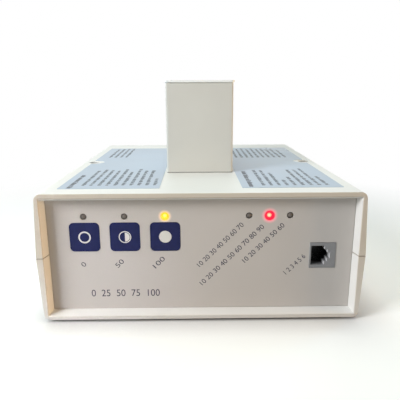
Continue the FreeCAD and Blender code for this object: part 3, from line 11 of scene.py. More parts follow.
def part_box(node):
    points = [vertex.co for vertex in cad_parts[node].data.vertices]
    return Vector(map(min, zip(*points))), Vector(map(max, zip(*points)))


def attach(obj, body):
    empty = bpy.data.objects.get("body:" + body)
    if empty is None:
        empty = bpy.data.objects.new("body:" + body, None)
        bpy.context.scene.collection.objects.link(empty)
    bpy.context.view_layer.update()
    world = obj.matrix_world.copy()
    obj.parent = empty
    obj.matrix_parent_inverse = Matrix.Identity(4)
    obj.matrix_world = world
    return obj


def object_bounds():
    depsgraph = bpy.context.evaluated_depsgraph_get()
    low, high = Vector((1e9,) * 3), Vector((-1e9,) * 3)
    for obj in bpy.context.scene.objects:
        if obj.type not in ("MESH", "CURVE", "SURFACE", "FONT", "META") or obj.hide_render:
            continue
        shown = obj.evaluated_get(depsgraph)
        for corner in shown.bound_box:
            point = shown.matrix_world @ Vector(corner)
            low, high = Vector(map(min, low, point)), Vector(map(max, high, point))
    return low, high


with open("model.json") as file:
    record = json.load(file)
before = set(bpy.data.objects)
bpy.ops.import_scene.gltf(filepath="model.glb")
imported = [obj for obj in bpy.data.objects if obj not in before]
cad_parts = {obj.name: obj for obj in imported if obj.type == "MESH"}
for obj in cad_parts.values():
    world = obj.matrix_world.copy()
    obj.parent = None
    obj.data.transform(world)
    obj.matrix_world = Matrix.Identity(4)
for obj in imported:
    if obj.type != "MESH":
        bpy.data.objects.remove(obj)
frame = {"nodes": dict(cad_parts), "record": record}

MM = 0.001
cad_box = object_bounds()

# Camera, as fitted to the photograph
CAMERA_PLACE = Vector((-3.05, -314.38, 121.89)) * MM
CAMERA_YAW = math.radians(0.64)
CAMERA_PITCH = math.radians(14.15)
CAMERA_ROLL = math.radians(0.27)
CAMERA_LENS = 39.64
CAMERA_SENSOR = 36.0


def make_camera():
    """A camera at the photograph's place, looking slightly down."""
    ahead = Vector((math.sin(CAMERA_YAW) * math.cos(CAMERA_PITCH),
                    math.cos(CAMERA_YAW) * math.cos(CAMERA_PITCH),
                    -math.sin(CAMERA_PITCH)))
    level = Vector((math.cos(CAMERA_YAW), -math.sin(CAMERA_YAW), 0))
    down = ahead.cross(level)
    right = level * math.cos(CAMERA_ROLL) + down * math.sin(CAMERA_ROLL)
    up = -(down * math.cos(CAMERA_ROLL) - level * math.sin(CAMERA_ROLL))
    data = bpy.data.cameras.new("camera")
    data.lens = CAMERA_LENS
    data.sensor_width = CAMERA_SENSOR
    camera = bpy.data.objects.new("camera", data)
    turn = Matrix((right, up, -ahead)).transposed()
    camera.matrix_world = Matrix.Translation(CAMERA_PLACE) @ turn.to_4x4()
    bpy.context.scene.collection.objects.link(camera)
    bpy.context.scene.camera = camera


make_camera()
bpy.context.scene.view_settings.view_transform = "Standard"


# Node helpers
def new_surface(name):
    """A new material: its node tree and its Principled shader."""
    material = bpy.data.materials.new(name)
    material.use_nodes = True
    tree = material.node_tree
    shader = next(node for node in tree.nodes if node.type == "BSDF_PRINCIPLED")
    return material, tree, shader


def opaque(colour):
    """A colour with the full alpha that sockets want."""
    return (*colour[:3], 1.0)


def places(tree, stretch=(1, 1, 1)):
    """Object coordinates, stretched along the axes."""
    source = tree.nodes.new("ShaderNodeTexCoord")
    scale = tree.nodes.new("ShaderNodeMapping")
    scale.inputs["Scale"].default_value = stretch
    tree.links.new(source.outputs["Object"], scale.inputs["Vector"])
    return scale.outputs["Vector"]


def noise(tree, vector, size, detail=3.0):
    """Noise whose blotches are about one size across, in metres."""
    cloud = tree.nodes.new("ShaderNodeTexNoise")
    cloud.inputs["Scale"].default_value = 1 / size
    cloud.inputs["Detail"].default_value = detail
    tree.links.new(vector, cloud.inputs["Vector"])
    return cloud.outputs["Fac"]


def spread(tree, value, low, high, start=0.3, end=0.7):
    """Maps a value between start and end to low and high."""
    band = tree.nodes.new("ShaderNodeMapRange")
    band.inputs["From Min"].default_value = start
    band.inputs["From Max"].default_value = end
    band.inputs["To Min"].default_value = low
    band.inputs["To Max"].default_value = high
    tree.links.new(value, band.inputs["Value"])
    return band.outputs["Result"]


def combine(tree, operation, first, second):
    """A math node over two values, each a socket or a number."""
    node = tree.nodes.new("ShaderNodeMath")
    node.operation = operation
    for socket, value in zip(node.inputs, (first, second)):
        if isinstance(value, (int, float)):
            socket.default_value = value
        else:
            tree.links.new(value, socket)
    return node.outputs["Value"]


def blend_colours(tree, factor, first, second):
    """Mixes two colours, each a socket or a tuple, by a factor."""
    node = tree.nodes.new("ShaderNodeMix")
    node.data_type = "RGBA"
    wanted = ((node.inputs[0], factor), (node.inputs[6], first), (node.inputs[7], second))
    for socket, value in wanted:
        if isinstance(value, bpy.types.NodeSocket):
            tree.links.new(value, socket)
        else:
            socket.default_value = value if isinstance(value, (int, float)) else opaque(value)
    return node.outputs[2]


def raise_surface(tree, shader, height, depth):
    """Bumps the shader's normal by a height."""
    bump = tree.nodes.new("ShaderNodeBump")
    bump.inputs["Distance"].default_value = depth
    bump.inputs["Strength"].default_value = 1.0
    tree.links.new(height, bump.inputs["Height"])
    tree.links.new(bump.outputs["Normal"], shader.inputs["Normal"])


def shade(colour, share):
    """The colour made darker or lighter by a share."""
    return tuple(min(1.0, part * share) for part in colour[:3])


# How far roughness swings either way, on moulded and on striped stuff
ROUGH_SWING = 0.15
STRIPE_SWING = 0.2


def moulded(name, colour, rough=0.4, grain=0.5, depth=0.012, mottle=0.05, cloud=25.0,
            stretch=(1, 1, 1), shine=0.5):
    """Moulded, painted or cast stuff. Grain, depth and cloud are in millimetres."""
    material, tree, shader = new_surface(name)
    shader.inputs["Specular IOR Level"].default_value = shine
    vector = places(tree, stretch)
    blotches = noise(tree, vector, cloud * MM)
    fine = noise(tree, vector, grain * MM, 2.0)
    tint = blend_colours(tree, spread(tree, blotches, 0.0, 1.0), shade(colour, 1 - mottle),
                         shade(colour, 1 + mottle))
    tree.links.new(tint, shader.inputs["Base Color"])
    roughness = spread(tree, fine, rough * (1 - ROUGH_SWING), rough * (1 + ROUGH_SWING))
    tree.links.new(roughness, shader.inputs["Roughness"])
    raise_surface(tree, shader, fine, depth * MM)
    return material, tree, shader


def metal(name, colour, rough, grain=0.12, stretch=(1, 1, 1), depth=0.004):
    """Metal with fine lines or grain."""
    material, tree, shader = moulded(name, colour, rough=rough, grain=grain, depth=depth,
                                     mottle=0.06, cloud=6.0, stretch=stretch)
    shader.inputs["Metallic"].default_value = 1.0
    return material, tree, shader


def striped(name, colour, other, pitch, axis, rough=0.45, depth=0.08):
    """Stuff with even lines across one axis, such as laminations or wound tape.

    The pitch is in millimetres. A line and its gap take about three pitches.
    """
    material, tree, shader = new_surface(name)
    vector = places(tree)
    wave = tree.nodes.new("ShaderNodeTexWave")
    wave.bands_direction = axis
    wave.inputs["Scale"].default_value = 1 / (pitch * MM * 10)
    wave.inputs["Distortion"].default_value = 0.4
    tree.links.new(vector, wave.inputs["Vector"])
    tint = blend_colours(tree, wave.outputs["Fac"], colour, other)
    tree.links.new(tint, shader.inputs["Base Color"])
    roughness = spread(tree, noise(tree, vector, 3 * MM), rough * (1 - STRIPE_SWING),
                       rough * (1 + STRIPE_SWING))
    tree.links.new(roughness, shader.inputs["Roughness"])
    raise_surface(tree, shader, wave.outputs["Fac"], depth * MM)
    return material, tree, shader


def distance_from(tree, point):
    """How far a place on the surface lies from a point."""
    source = tree.nodes.new("ShaderNodeTexCoord")
    gap = tree.nodes.new("ShaderNodeVectorMath")
    gap.operation = "DISTANCE"
    gap.inputs[1].default_value = point
    tree.links.new(source.outputs["Object"], gap.inputs[0])
    return gap.outputs["Value"]


def middle_of(node):
    """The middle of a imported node's box."""
    low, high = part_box(node)
    return (low + high) / 2


# Colours, in linear light
CREAM = (0.82, 0.815, 0.80)
# Tan of the painted shade on the casing's open ends
RIM_SHADE_TAN = (0.645, 0.585, 0.50)
PARTING_BROWN = (0.22, 0.15, 0.09)
HEAD_CREAM = (0.66, 0.67, 0.635)
FILM_GREY = (0.595, 0.56, 0.53)
LABEL_BLUE = (0.42, 0.505, 0.62)
JACK_GREY = (0.25, 0.25, 0.26)
# Painted highlight colour for the jack's left-facing step walls
JACK_HIGHLIGHT_GREY = (0.72, 0.73, 0.76)
# Painted shade deep inside the jack
JACK_PAINTED_SHADE = (0.006, 0.006, 0.006)
NAVY = (0.0125, 0.0165, 0.080)
INK = (0.024, 0.022, 0.050)
SATIN_SHINE = 0.35


# Painted glow of each lit light on the panel round its hole: the core's colour, where that is full
# and gone, then the haze's colour and where that is gone, all in millimetres.
PAINTED_LED_GLOWS = (
    ("led_amber", (0.98, 0.66, 0.04), 1.95, 2.75, (0.62, 0.34, 0.12), 3.7),
    ("led_red", (0.95, 0.012, 0.055), 2.4, 3.2, (0.60, 0.02, 0.09), 4.5),
)


def ring_fade(tree, centre, near, far):
    """One within near of a centre and zero from far on, both in millimetres."""
    return spread(tree, distance_from(tree, centre), 1.0, 0.0, near * MM, far * MM)


# A lit lens is its body's colour up to the first radius and its rim's from the second on, and its
# hot spot, a painted highlight, is full within its heart, in millimetres. The shares are what the
# lens and the film round it keep of the light's colour as their own; the film's share is painted
# glow.
UNLIT_SHARE = 0.25
# Share of each lit light's colour painted into the film round it, as painted glow
PAINTED_GLOW_SHARE = 0.2
LENS_BODY_RADIUS = 1.1
LENS_RIM_RADIUS = 1.9
HIGHLIGHT_HEART = 0.2


def lit_lens(name, body, rim, painted_highlight, spot_aside, spot_up, spot_size):
    """A glowing lens: darker at its rim, with a painted highlight as a hot spot off its middle,
    placed in millimetres.
    """
    material, tree, shader = moulded(name, shade(body, UNLIT_SHARE), rough=0.2, grain=0.4,
                                     depth=0.003, mottle=0.02)
    centre = middle_of(name)
    centre.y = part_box(name)[0].y
    edge = spread(tree, distance_from(tree, centre), 0.0, 1.0,
                  LENS_BODY_RADIUS * MM, LENS_RIM_RADIUS * MM)
    glow = blend_colours(tree, edge, body, rim)
    highlight_place = centre + Vector((spot_aside, 0, spot_up)) * MM
    heart = ring_fade(tree, highlight_place, HIGHLIGHT_HEART, spot_size)
    tree.links.new(blend_colours(tree, heart, glow, painted_highlight), shader.inputs["Emission Color"])
    shader.inputs["Emission Strength"].default_value = 1.0
    return material, tree, shader


def paint_led_glow(material, tree, shader):
    """Paints the glow of the two lit lights onto what surrounds them, as emission and as a tint in
    its colour.
    """
    base = shader.inputs["Base Color"].links[0].from_socket
    glow = (0, 0, 0)
    for node, core, near, far, haze, reach in PAINTED_LED_GLOWS:
        centre = middle_of(node)
        centre.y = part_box("panel_overlay")[0].y
        close = ring_fade(tree, centre, near, far)
        base = blend_colours(tree, close, base, shade(core, PAINTED_GLOW_SHARE))
        glow = blend_colours(tree, ring_fade(tree, centre, near, reach), glow, haze)
        glow = blend_colours(tree, close, glow, core)
    tree.links.new(base, shader.inputs["Base Color"])
    tree.links.new(glow, shader.inputs["Emission Color"])
    shader.inputs["Emission Strength"].default_value = 1.0
    return material, tree, shader


def printed_film():
    """The panel's printed film, with painted glow round the lit lights."""
    return paint_led_glow(*moulded("panel_film", FILM_GREY, rough=0.42, grain=0.35, depth=0.006,
                                     mottle=0.02, cloud=40.0, shine=SATIN_SHINE))


def along_axis(tree, kind, axis):
    """One axis of the place on the surface, in metres, or of its normal."""
    source = tree.nodes.new("ShaderNodeTexCoord")
    parts = tree.nodes.new("ShaderNodeSeparateXYZ")
    tree.links.new(source.outputs[kind], parts.inputs["Vector"])
    return parts.outputs[axis]


def place_along(tree, axis):
    """The place on the surface along one axis, in metres."""
    return along_axis(tree, "Object", axis)


# The normal's X where a surface looks fully to the left, and where it no longer counts as doing so
LEFT_NORMALS = (-0.9, -0.6)


def faces_left(tree):
    """One on surfaces that look to the left, zero on others."""
    return spread(tree, along_axis(tree, "Normal", "X"), 1.0, 0.0, *LEFT_NORMALS)


# Painted shade in the jack: its housing is grey up to the first depth behind its face and black
# from the second on
JACK_SHADE_START = 0.8 * MM
JACK_SHADE_FULL = 6.0 * MM


def jack_surface():
    """Grey glossy housing with a painted highlight on its left-facing step walls and painted shade
    going to black deep inside.
    """
    material, tree, shader = moulded("jack_grey", JACK_GREY, rough=0.25, grain=0.6, depth=0.004,
                                     mottle=0.05, cloud=8.0)
    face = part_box("jack_body")[0].y
    depth = spread(tree, place_along(tree, "Y"), 0.0, 1.0,
                   face + JACK_SHADE_START, face + JACK_SHADE_FULL)
    outside = shader.inputs["Base Color"].links[0].from_socket
    # Painted highlight: the step walls that look to the left are made lighter
    highlighted_steps = blend_colours(tree, faces_left(tree), outside, JACK_HIGHLIGHT_GREY)
    tree.links.new(blend_colours(tree, depth, highlighted_steps, JACK_PAINTED_SHADE), shader.inputs["Base Color"])
    return material, tree, shader


# The painted shadow line at the head's foot, full up to the first height and gone at the second
FOOT_SHADOW_NEAR = 0.25 * MM
FOOT_SHADOW_FAR = 0.6 * MM
FOOT_SHADOW_SHARE = 0.25


def head_surface():
    """Beige painted casing, with a thin painted shadow line where it stands on the case."""
    material, tree, shader = moulded("head_plastic", HEAD_CREAM, rough=0.45, grain=0.5, depth=0.008,
                                     mottle=0.02, shine=SATIN_SHINE)
    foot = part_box("tower_shell")[0].z
    painted_foot_shadow = spread(tree, place_along(tree, "Z"), 1.0, 0.0, foot + FOOT_SHADOW_NEAR, foot + FOOT_SHADOW_FAR)
    outside = shader.inputs["Base Color"].links[0].from_socket
    foot_shadowed = blend_colours(tree, painted_foot_shadow, outside, shade(HEAD_CREAM, FOOT_SHADOW_SHARE))
    tree.links.new(foot_shadowed, shader.inputs["Base Color"])
    return material, tree, shader


# Where tan painted shade lies on the casing's open ends, stronger higher up, and where its two
# shells meet
RIM_SHADE_DEEP = 0.9 * MM
RIM_SHADE_FULL = 0.3 * MM
RIM_SHADE_LEAST = 0.35
RIM_SHADE_LEVELS = (4 * MM, 45 * MM)
SPLIT_LEVEL = 36.5 * MM
PARTING_SHARE = 0.6
PARTING_BAND = (0.1 * MM, 0.35 * MM)


def case_surface():
    """Cream moulded casing, with tan painted shade on the faces of its open ends and a dark parting
    line.
    """
    material, tree, shader = moulded("case_plastic", CREAM, rough=0.40, grain=0.45, depth=0.010,
                                     mottle=0.025, cloud=30.0, shine=SATIN_SHINE)
    end = cad_box[1].y
    height = place_along(tree, "Z")
    reach = combine(tree, "ABSOLUTE", place_along(tree, "Y"), 0.0)
    end_faces = spread(tree, reach, 0.0, 1.0, end - RIM_SHADE_DEEP, end - RIM_SHADE_FULL)
    painted_rim_shade = combine(tree, "MULTIPLY", end_faces, spread(tree, height, RIM_SHADE_LEAST, 1.0, *RIM_SHADE_LEVELS))
    whole = shader.inputs["Base Color"].links[0].from_socket
    # Painted shade: the faces of the open ends darkened to tan, more so higher up
    rim_shaded = blend_colours(tree, painted_rim_shade, whole, RIM_SHADE_TAN)
    gap = combine(tree, "ABSOLUTE", combine(tree, "SUBTRACT", height, SPLIT_LEVEL), 0.0)
    parting = spread(tree, gap, PARTING_SHARE, 0.0, *PARTING_BAND)
    tree.links.new(blend_colours(tree, parting, rim_shaded, PARTING_BROWN), shader.inputs["Base Color"])
    return material, tree, shader


def key_surface():
    """Navy satin film over the keys, faintly mottled."""
    return moulded("key_navy", NAVY, rough=0.42, grain=0.3, depth=0.004, mottle=0.12, cloud=4.0,
                   shine=0.2)


def glass(name, colour):
    """Clear smooth glass."""
    material, tree, shader = moulded(name, colour, rough=0.02, grain=2.0, depth=0.0, mottle=0.01)
    shader.inputs["Transmission Weight"].default_value = 1.0
    shader.inputs["IOR"].default_value = 1.47
    return material, tree, shader


def glossy_film():
    """A glossy pale blue label."""
    return moulded("label_film", LABEL_BLUE, rough=0.32, grain=40.0, depth=0.002, mottle=0.02,
                   cloud=20.0, shine=SATIN_SHINE)


finishes = {
    "case_plastic": case_surface(),
    "head_plastic": head_surface(),
    "cap_plastic": moulded("cap_plastic", (0.93, 0.97, 0.98), rough=0.40, grain=0.5, depth=0.006,
                           mottle=0.02),
    # The panel plate also gets the painted glow round the lit lights
    "panel_plastic": paint_led_glow(*moulded("panel_plastic", (0.50, 0.47, 0.42), rough=0.42,
                                               grain=0.4, depth=0.010, mottle=0.03)),
    "panel_film": printed_film(),
    "key_navy": key_surface(),
    "led_dark": moulded("led_dark", (0.145, 0.128, 0.115), rough=0.35, grain=0.5, depth=0.003,
                        mottle=0.08, cloud=1.5),
    "led_amber": lit_lens("led_amber", body=(1.0, 0.86, 0.03), rim=(0.86, 0.46, 0.02),
                          painted_highlight=(1.0, 1.0, 0.30), spot_aside=0.0, spot_up=0.5, spot_size=1.2),
    "led_red": lit_lens("led_red", body=(0.93, 0.012, 0.035), rim=(0.90, 0.015, 0.06),
                        painted_highlight=(1.0, 0.97, 0.55), spot_aside=-0.35, spot_up=0.3, spot_size=1.6),
    "jack_grey": jack_surface(),
    "gold_contact": metal("gold_contact", (0.90, 0.68, 0.32), rough=0.25),
    "label_film": glossy_film(),
    "screw_steel": metal("screw_steel", (0.62, 0.62, 0.60), rough=0.32),
    "pin_metal": metal("pin_metal", (0.78, 0.77, 0.74), rough=0.18),
    "foot_rubber": moulded("foot_rubber", (0.030, 0.030, 0.032), rough=0.75, grain=0.4, depth=0.03,
                           mottle=0.15, cloud=3.0),
    "reflector_glass": metal("reflector_glass", (0.88, 0.88, 0.92), rough=0.08, grain=1.5,
                             stretch=(1, 1, 1), depth=0.05),
    "clear_glass": glass("clear_glass", (0.93, 0.96, 0.97)),
    "socket_ceramic": moulded("socket_ceramic", (0.80, 0.77, 0.70), rough=0.55, grain=0.3,
                              depth=0.03, mottle=0.04, cloud=5.0),
    "aluminium": metal("aluminium", (0.72, 0.72, 0.73), rough=0.30, grain=0.10, stretch=(1, 6, 1)),
    "black_plastic": moulded("black_plastic", (0.020, 0.020, 0.021), rough=0.45, grain=0.35,
                             depth=0.02, mottle=0.15, cloud=5.0),
    "board_green": moulded("board_green", (0.012, 0.10, 0.035), rough=0.30, grain=0.8, depth=0.02,
                           mottle=0.25, cloud=2.0),
    "core_steel": striped("core_steel", (0.035, 0.035, 0.038), (0.10, 0.10, 0.105), pitch=0.5,
                          axis="Y"),
    "coil_tape": striped("coil_tape", (0.48, 0.30, 0.05), (0.60, 0.40, 0.09), pitch=2.0, axis="Z"),
    "capacitor_sleeve": moulded("capacitor_sleeve", (0.015, 0.022, 0.075), rough=0.25, grain=1.0,
                                depth=0.01, mottle=0.08),
    "terminal_green": moulded("terminal_green", (0.02, 0.16, 0.06), rough=0.4, grain=0.4,
                              depth=0.02, mottle=0.08),
    "cable_grey": striped("cable_grey", (0.30, 0.30, 0.32), (0.20, 0.20, 0.22), pitch=1.27,
                          axis="X"),
    "lead_white": moulded("lead_white", (0.76, 0.75, 0.70), rough=0.5, grain=0.5, depth=0.01,
                          mottle=0.04),
}


def paint_nodes():
    """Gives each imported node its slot's finish."""
    for row in frame["record"]["subparts"]:
        material = finishes[row["material_slot"]][0]
        for place in frame["nodes"][row["node"]].material_slots:
            place.material = material


# Each softened node's rounding, in millimetres
SOFT_EDGES = {"top_shell": 0.35, "bottom_shell": 0.35, "tower_shell": 0.3, "tower_cap": 0.3,
              "key_off": 0.1, "key_low": 0.1, "key_high": 0.1, "jack_body": 0.12}
SOFT_STEPS = 2
WELD_GAP = 0.001 * MM
SHARP_ANGLE = math.radians(40)


def soften(node, width):
    """Rounds a node's edges finely, so that they catch the light."""
    thing = frame["nodes"][node]
    weld = thing.modifiers.new("join", "WELD")
    weld.merge_threshold = WELD_GAP
    bevel = thing.modifiers.new("round", "BEVEL")
    bevel.width = width * MM
    bevel.segments = SOFT_STEPS
    bevel.limit_method = "ANGLE"
    bevel.angle_limit = SHARP_ANGLE
    bevel.use_clamp_overlap = True
    smooth = thing.modifiers.new("even", "WEIGHTED_NORMAL")
    smooth.keep_sharp = False
    smooth.weight = 100


paint_nodes()
for name, width in SOFT_EDGES.items():
    soften(name, width)


# Prints: thin pieces of ink that stand a hair above what carries them
INK_LIFT = 0.015 * MM
INK_THICK = 0.02 * MM


def add_piece(name, mesh, body, material=None):
    """A mesh as a named piece that rides on a body."""
    thing = bpy.data.objects.new(name, mesh)
    bpy.context.scene.collection.objects.link(thing)
    mesh.materials.clear()
    mesh.materials.append(material)
    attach(thing, body)
    return thing


def plate_from(outlines, name):
    """A flat piece on XY from closed outlines, given a little thickness down to zero height."""
    grid = bmesh.new()
    for outline in outlines:
        low = [grid.verts.new((x, y, 0)) for x, y in outline]
        high = [grid.verts.new((x, y, INK_THICK)) for x, y in outline]
        count = len(outline)
        grid.faces.new(high)
        grid.faces.new(list(reversed(low)))
        for index in range(count):
            after = (index + 1) % count
            grid.faces.new((low[index], low[after], high[after], high[index]))
    mesh = bpy.data.meshes.new(name)
    grid.to_mesh(mesh)
    grid.free()
    return mesh


def on_panel(x, z, level, angle=0.0):
    """Where a print lies on a face that looks to the front: its XY becomes XZ there."""
    stand = Matrix.Rotation(math.radians(90), 4, "X")
    lean = Matrix.Rotation(angle, 4, "Z")
    return Matrix.Translation((x, level - INK_LIFT, z)) @ stand @ lean


def arc_points(radius, start, end, steps):
    """Points along an arc about the origin, with both its ends."""
    return [(radius * math.cos(start + (end - start) * step / steps),
             radius * math.sin(start + (end - start) * step / steps)) for step in range(steps + 1)]


# Key symbols. The half-filled circle's hole is wider than the plain ring's by the last share.
ROUND_STEPS = 48
ICON_RADIUS = 3.3 * MM
ICON_LINE = 0.8 * MM
HALF_ICON_HOLE_SHARE = 1.12


def ring_parts(outer, inner):
    """A ring as short four-cornered parts."""
    out = arc_points(outer, 0, 2 * math.pi, ROUND_STEPS)
    into = arc_points(inner, 0, 2 * math.pi, ROUND_STEPS)
    return [(out[i], out[i + 1], into[i + 1], into[i]) for i in range(ROUND_STEPS)]


def make_icons():
    """Ring, half-filled circle and full circle on the three keys."""
    ink = moulded("ink_white", (0.74, 0.73, 0.69), rough=0.45, grain=0.3, depth=0.003,
                  mottle=0.02)[0]
    inner = ICON_RADIUS - ICON_LINE
    half = arc_points(inner, -math.pi / 2, math.pi / 2, ROUND_STEPS // 2)
    full = arc_points(ICON_RADIUS, 0, 2 * math.pi, ROUND_STEPS)[:-1]
    designs = {"key_off": ring_parts(ICON_RADIUS, inner),
               "key_low": ring_parts(ICON_RADIUS, inner * HALF_ICON_HOLE_SHARE) + [half],
               "key_high": [full]}
    for key, outlines in designs.items():
        mesh = plate_from(outlines, f"{key}_icon")
        centre = middle_of(key)
        mesh.transform(on_panel(centre.x, centre.z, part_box(key)[0].y))
        add_piece(f"{key}_icon", mesh, key, ink)


def numerals(name, words, centre, length, height, angle, ink):
    """A line of numerals on the front panel, of one length and height, about its middle."""
    curve = bpy.data.curves.new(name, "FONT")
    curve.body = words
    source = bpy.data.objects.new(name + "_source", curve)
    bpy.context.scene.collection.objects.link(source)
    bpy.context.view_layer.update()
    depsgraph = bpy.context.evaluated_depsgraph_get()
    mesh = bpy.data.meshes.new_from_object(source.evaluated_get(depsgraph))
    bpy.data.objects.remove(source)
    bpy.data.curves.remove(curve)
    xs = [vertex.co.x for vertex in mesh.vertices]
    ys = [vertex.co.y for vertex in mesh.vertices]
    middle = Matrix.Translation((-(min(xs) + max(xs)) / 2, -(min(ys) + max(ys)) / 2, 0))
    size = Matrix.Diagonal((length / (max(xs) - min(xs)), height / (max(ys) - min(ys)), 1, 1))
    mesh.transform(size @ middle)
    mesh.transform(on_panel(centre[0] * MM, centre[1] * MM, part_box("panel_overlay")[0].y, angle))
    return add_piece(name, mesh, "case", ink)


SLANT = math.radians(45)
LEGEND_HEIGHT = 2.7 * MM
TITLE = ("title_scale", "0  25  50  75  100", (-41.4, 13.95), 37.2)
TITLE_HEIGHT = 4.0 * MM
LEGENDS = (
    ("legend_1", "0", (-63.2, 30.8), 2.2),
    ("legend_2", "50", (-43.9, 31.2), 5.0),
    ("legend_3", "100", (-22.8, 31.6), 7.6),
    ("legend_4", "10 20 30 40 50 60 70", (10.05, 41.2), 33.2),
    ("legend_5", "10 20 30 40 50 60 70 80 90", (16.15, 35.3), 46.6),
    ("legend_6", "10 20 30 40 50 60", (33.0, 42.1), 29.4),
    ("legend_7", "1 2 3 4 5 6", (50.25, 29.8), 14.4),
)


def make_legends():
    """Plain numerals on the front panel: slanted rows, and one larger level row as a scale."""
    ink = moulded("ink_navy", INK, rough=0.42, grain=0.3, depth=0.002, mottle=0.05)[0]
    for name, words, centre, length in LEGENDS:
        numerals(name, words, centre, length * MM, LEGEND_HEIGHT, SLANT, ink)
    name, words, centre, length = TITLE
    numerals(name, words, centre, length * MM, TITLE_HEIGHT, 0.0, ink)


# Label prints: rows of plain blocks that run from front to rear, with gaps between words. A glyph
# is between the two widths, and as tall as one of the shares of its row's height. Each block of
# rows: first row's X, pitch, front end's Y, and each row's length, in millimetres.
GLYPH_HEIGHT = 2.1
GLYPH_WIDTHS = (0.75, 1.35)
GLYPH_TALLS = (0.76, 0.76, 1.0, 0.76, 0.96)
GLYPH_GAP = 0.3
WORD_GAP = 1.1
LABEL_ROWS = {
    "label_left": (
        (-65.1, 4.34, -79.5, (45, 48, 46, 45, 49, 41, 50, 45, 46, 18)),
        (-69.1, 4.15, 22.0, (45, 47, 48, 49)),
    ),
    "label_right": (
        (33.3, 4.31, -82.0, (46, 45, 36, 14, 24, 46, 47, 50, 24)),
        (27.7, 4.15, 18.0, (50, 48, 50, 47, 50, 46, 49, 44, 47, 40)),
    ),
}
HEADINGS = {"label_left": (-71.6, -86.0, 35.0), "label_right": (26.0, -85.0, 46.0)}
HEADING_HEIGHT = 1.35 * GLYPH_HEIGHT
WORD_LENGTHS = (2, 9)
LABEL_SEEDS = {"label_left": 11, "label_right": 23}


def word_row(dice, x, start, length, height):
    """One row of blocks along Y, in millimetres: a closed outline for each glyph."""
    outlines = []
    y = start
    left_in_word = dice.randint(*WORD_LENGTHS)
    while y < start + length:
        width = dice.uniform(*GLYPH_WIDTHS) * height / GLYPH_HEIGHT
        tall = height * dice.choice(GLYPH_TALLS)
        outlines.append(((x, y), (x + tall, y), (x + tall, y + width), (x, y + width)))
        y += width + GLYPH_GAP
        left_in_word -= 1
        if left_in_word <= 0:
            left_in_word = dice.randint(*WORD_LENGTHS)
            y += WORD_GAP
    return outlines


def make_label_prints():
    """Rows of plain blocks on both labels: many small grey ones and one larger dark one on each."""
    ink = moulded("ink_grey", (0.055, 0.075, 0.10), rough=0.4, grain=0.3, depth=0.002,
                  mottle=0.08)[0]
    dark = moulded("ink_dark", (0.025, 0.032, 0.05), rough=0.4, grain=0.3, depth=0.002,
                   mottle=0.08)[0]
    for name, seed in LABEL_SEEDS.items():
        dice = random.Random(seed)
        small = []
        for first, pitch, start, lengths in LABEL_ROWS[name]:
            for index, length in enumerate(lengths):
                small += word_row(dice, first + pitch * index, start, length, GLYPH_HEIGHT)
        heading = word_row(dice, *HEADINGS[name], HEADING_HEIGHT)
        for part, outlines, material in (("small_print", small, ink), ("heading", heading, dark)):
            metres = [[(x * MM, y * MM) for x, y in outline] for outline in outlines]
            mesh = plate_from(metres, f"{name}_{part}")
            mesh.transform(Matrix.Translation((0, 0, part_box(name)[1].z + INK_LIFT - INK_THICK)))
            add_piece(f"{name}_{part}", mesh, "case", material)


make_icons()
make_legends()
make_label_prints()


# Floor, world and lamps, in metres. The floor is darker for the light that it throws back than for
# the eye. Its contact shadow is painted from ambient occlusion and deepened by a power.
FLOOR_LIGHT = 0.45
FLOOR_SEEN = 0.85
FLOOR_LIFT = 0.16
FLOOR_HALF = 4.0
FLOOR_CLOUD = 0.15
FLOOR_MOTTLE = (0.99, 1.01)
CONTACT_REACH = 25 * MM
CONTACT_DEPTH = 1.5
SHADOW_REACH = (0.16, 0.34)
WORLD_LIGHT = 0.07
WORLD_SEEN = 1.0


def looked_at(tree):
    """One for rays from the camera and for reflected and refracted ones, zero for diffuse light."""
    rays = tree.nodes.new("ShaderNodeLightPath")
    seen = combine(tree, "MAXIMUM", rays.outputs["Is Camera Ray"], rays.outputs["Is Glossy Ray"])
    return combine(tree, "MAXIMUM", seen, rays.outputs["Is Transmission Ray"])


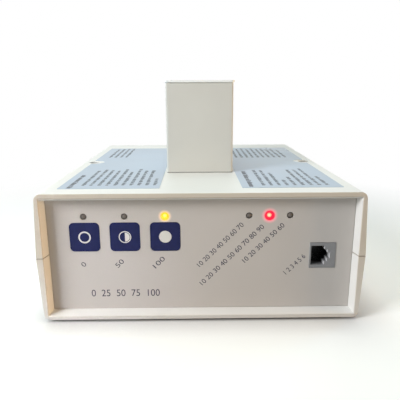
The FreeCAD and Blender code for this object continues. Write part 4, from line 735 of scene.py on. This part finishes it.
def make_floor():
    """A wide floor that keeps the shadow near the object, deepened by a painted contact shadow, and
    is plain white further off.
    """
    mesh = bpy.data.meshes.new("floor")
    mesh.from_pydata([(-FLOOR_HALF, -FLOOR_HALF, 0), (FLOOR_HALF, -FLOOR_HALF, 0),
                      (FLOOR_HALF, FLOOR_HALF, 0), (-FLOOR_HALF, FLOOR_HALF, 0)],
                     [], [(0, 1, 2, 3)])
    floor = bpy.data.objects.new("floor", mesh)
    bpy.context.scene.collection.objects.link(floor)
    material, tree, shader = new_surface("floor")
    close = tree.nodes.new("ShaderNodeAmbientOcclusion")
    close.inputs["Distance"].default_value = CONTACT_REACH
    seen = combine(tree, "MULTIPLY", looked_at(tree),
                   combine(tree, "POWER", close.outputs["AO"], CONTACT_DEPTH))
    grey = spread(tree, seen, FLOOR_LIGHT, FLOOR_SEEN, 0.0, 1.0)
    cloud = spread(tree, noise(tree, places(tree), FLOOR_CLOUD), *FLOOR_MOTTLE)
    mottled = combine(tree, "MULTIPLY", grey, cloud)
    tree.links.new(mottled, shader.inputs["Base Color"])
    shader.inputs["Roughness"].default_value = 0.9
    shader.inputs["Specular IOR Level"].default_value = 0.1
    shader.inputs["Emission Color"].default_value = (1, 1, 1, 1)
    tree.links.new(combine(tree, "MULTIPLY", seen, FLOOR_LIFT), shader.inputs["Emission Strength"])
    plain = tree.nodes.new("ShaderNodeEmission")
    far = spread(tree, distance_from(tree, (0, 0, 0)), 0.0, 1.0, *SHADOW_REACH)
    mix = tree.nodes.new("ShaderNodeMixShader")
    tree.links.new(combine(tree, "MULTIPLY", seen, far), mix.inputs[0])
    tree.links.new(shader.outputs[0], mix.inputs[1])
    tree.links.new(plain.outputs[0], mix.inputs[2])
    out = next(node for node in tree.nodes if node.type == "OUTPUT_MATERIAL")
    tree.links.new(mix.outputs[0], out.inputs["Surface"])
    mesh.materials.append(material)


def make_world():
    """Soft surroundings that light little and are seen as plain white."""
    world = bpy.data.worlds.new("surroundings")
    bpy.context.scene.world = world
    world.use_nodes = True
    tree = world.node_tree
    back = next(node for node in tree.nodes if node.type == "BACKGROUND")
    back.inputs["Color"].default_value = (1, 1, 1, 1)
    strength = spread(tree, looked_at(tree), WORLD_LIGHT, WORLD_SEEN, 0.0, 1.0)
    tree.links.new(strength, back.inputs["Strength"])


def area_lamp(name, place, target, size, power, colour=(1, 1, 1), mirrored=True, beam=180):
    """A soft square lamp at a place, aimed at a target. Unmirrored, it leaves no highlight."""
    data = bpy.data.lights.new(name, "AREA")
    data.size = size
    data.spread = math.radians(beam)
    data.energy = power
    data.color = colour
    lamp = bpy.data.objects.new(name, data)
    lamp.location = place
    lamp.visible_glossy = mirrored
    lamp.rotation_mode = "QUATERNION"
    lamp.rotation_quaternion = (Vector(target) - Vector(place)).to_track_quat("-Z", "Y")
    bpy.context.scene.collection.objects.link(lamp)


make_floor()
make_world()
area_lamp("key_lamp", place=(-0.545, -0.415, 0.40), target=(0, -0.05, 0.05), size=0.30, power=5.0,
          mirrored=False)
area_lamp("top_lamp", place=(-0.15, 0.15, 1.3), target=(0, 0, 0.05), size=1.0, power=8.0,
          colour=(0.95, 1.085, 0.96))
area_lamp("side_lamp", place=(1.2, -0.27, 0.15), target=(0, -0.09, 0.03), size=0.35, power=6.0,
          colour=(1.465, 0.876, 0.32))
area_lamp("fill_lamp", place=(1.1, 0.55, 0.25), target=(0.05, 0.02, 0.04), size=0.35, power=6.0,
          colour=(0.25, 0.55, 0.90))
area_lamp("back_lamp", place=(0.2, 1.3, 0.6), target=(0, 0, 0.05), size=1.0, power=3.0,
          mirrored=False)
area_lamp("low_lamp", place=(-0.33, -0.40, 0.18), target=(-0.078, -0.0926, 0.02), size=0.09,
          power=0.0065, colour=(0.91, 1.0, 1.13), beam=7)
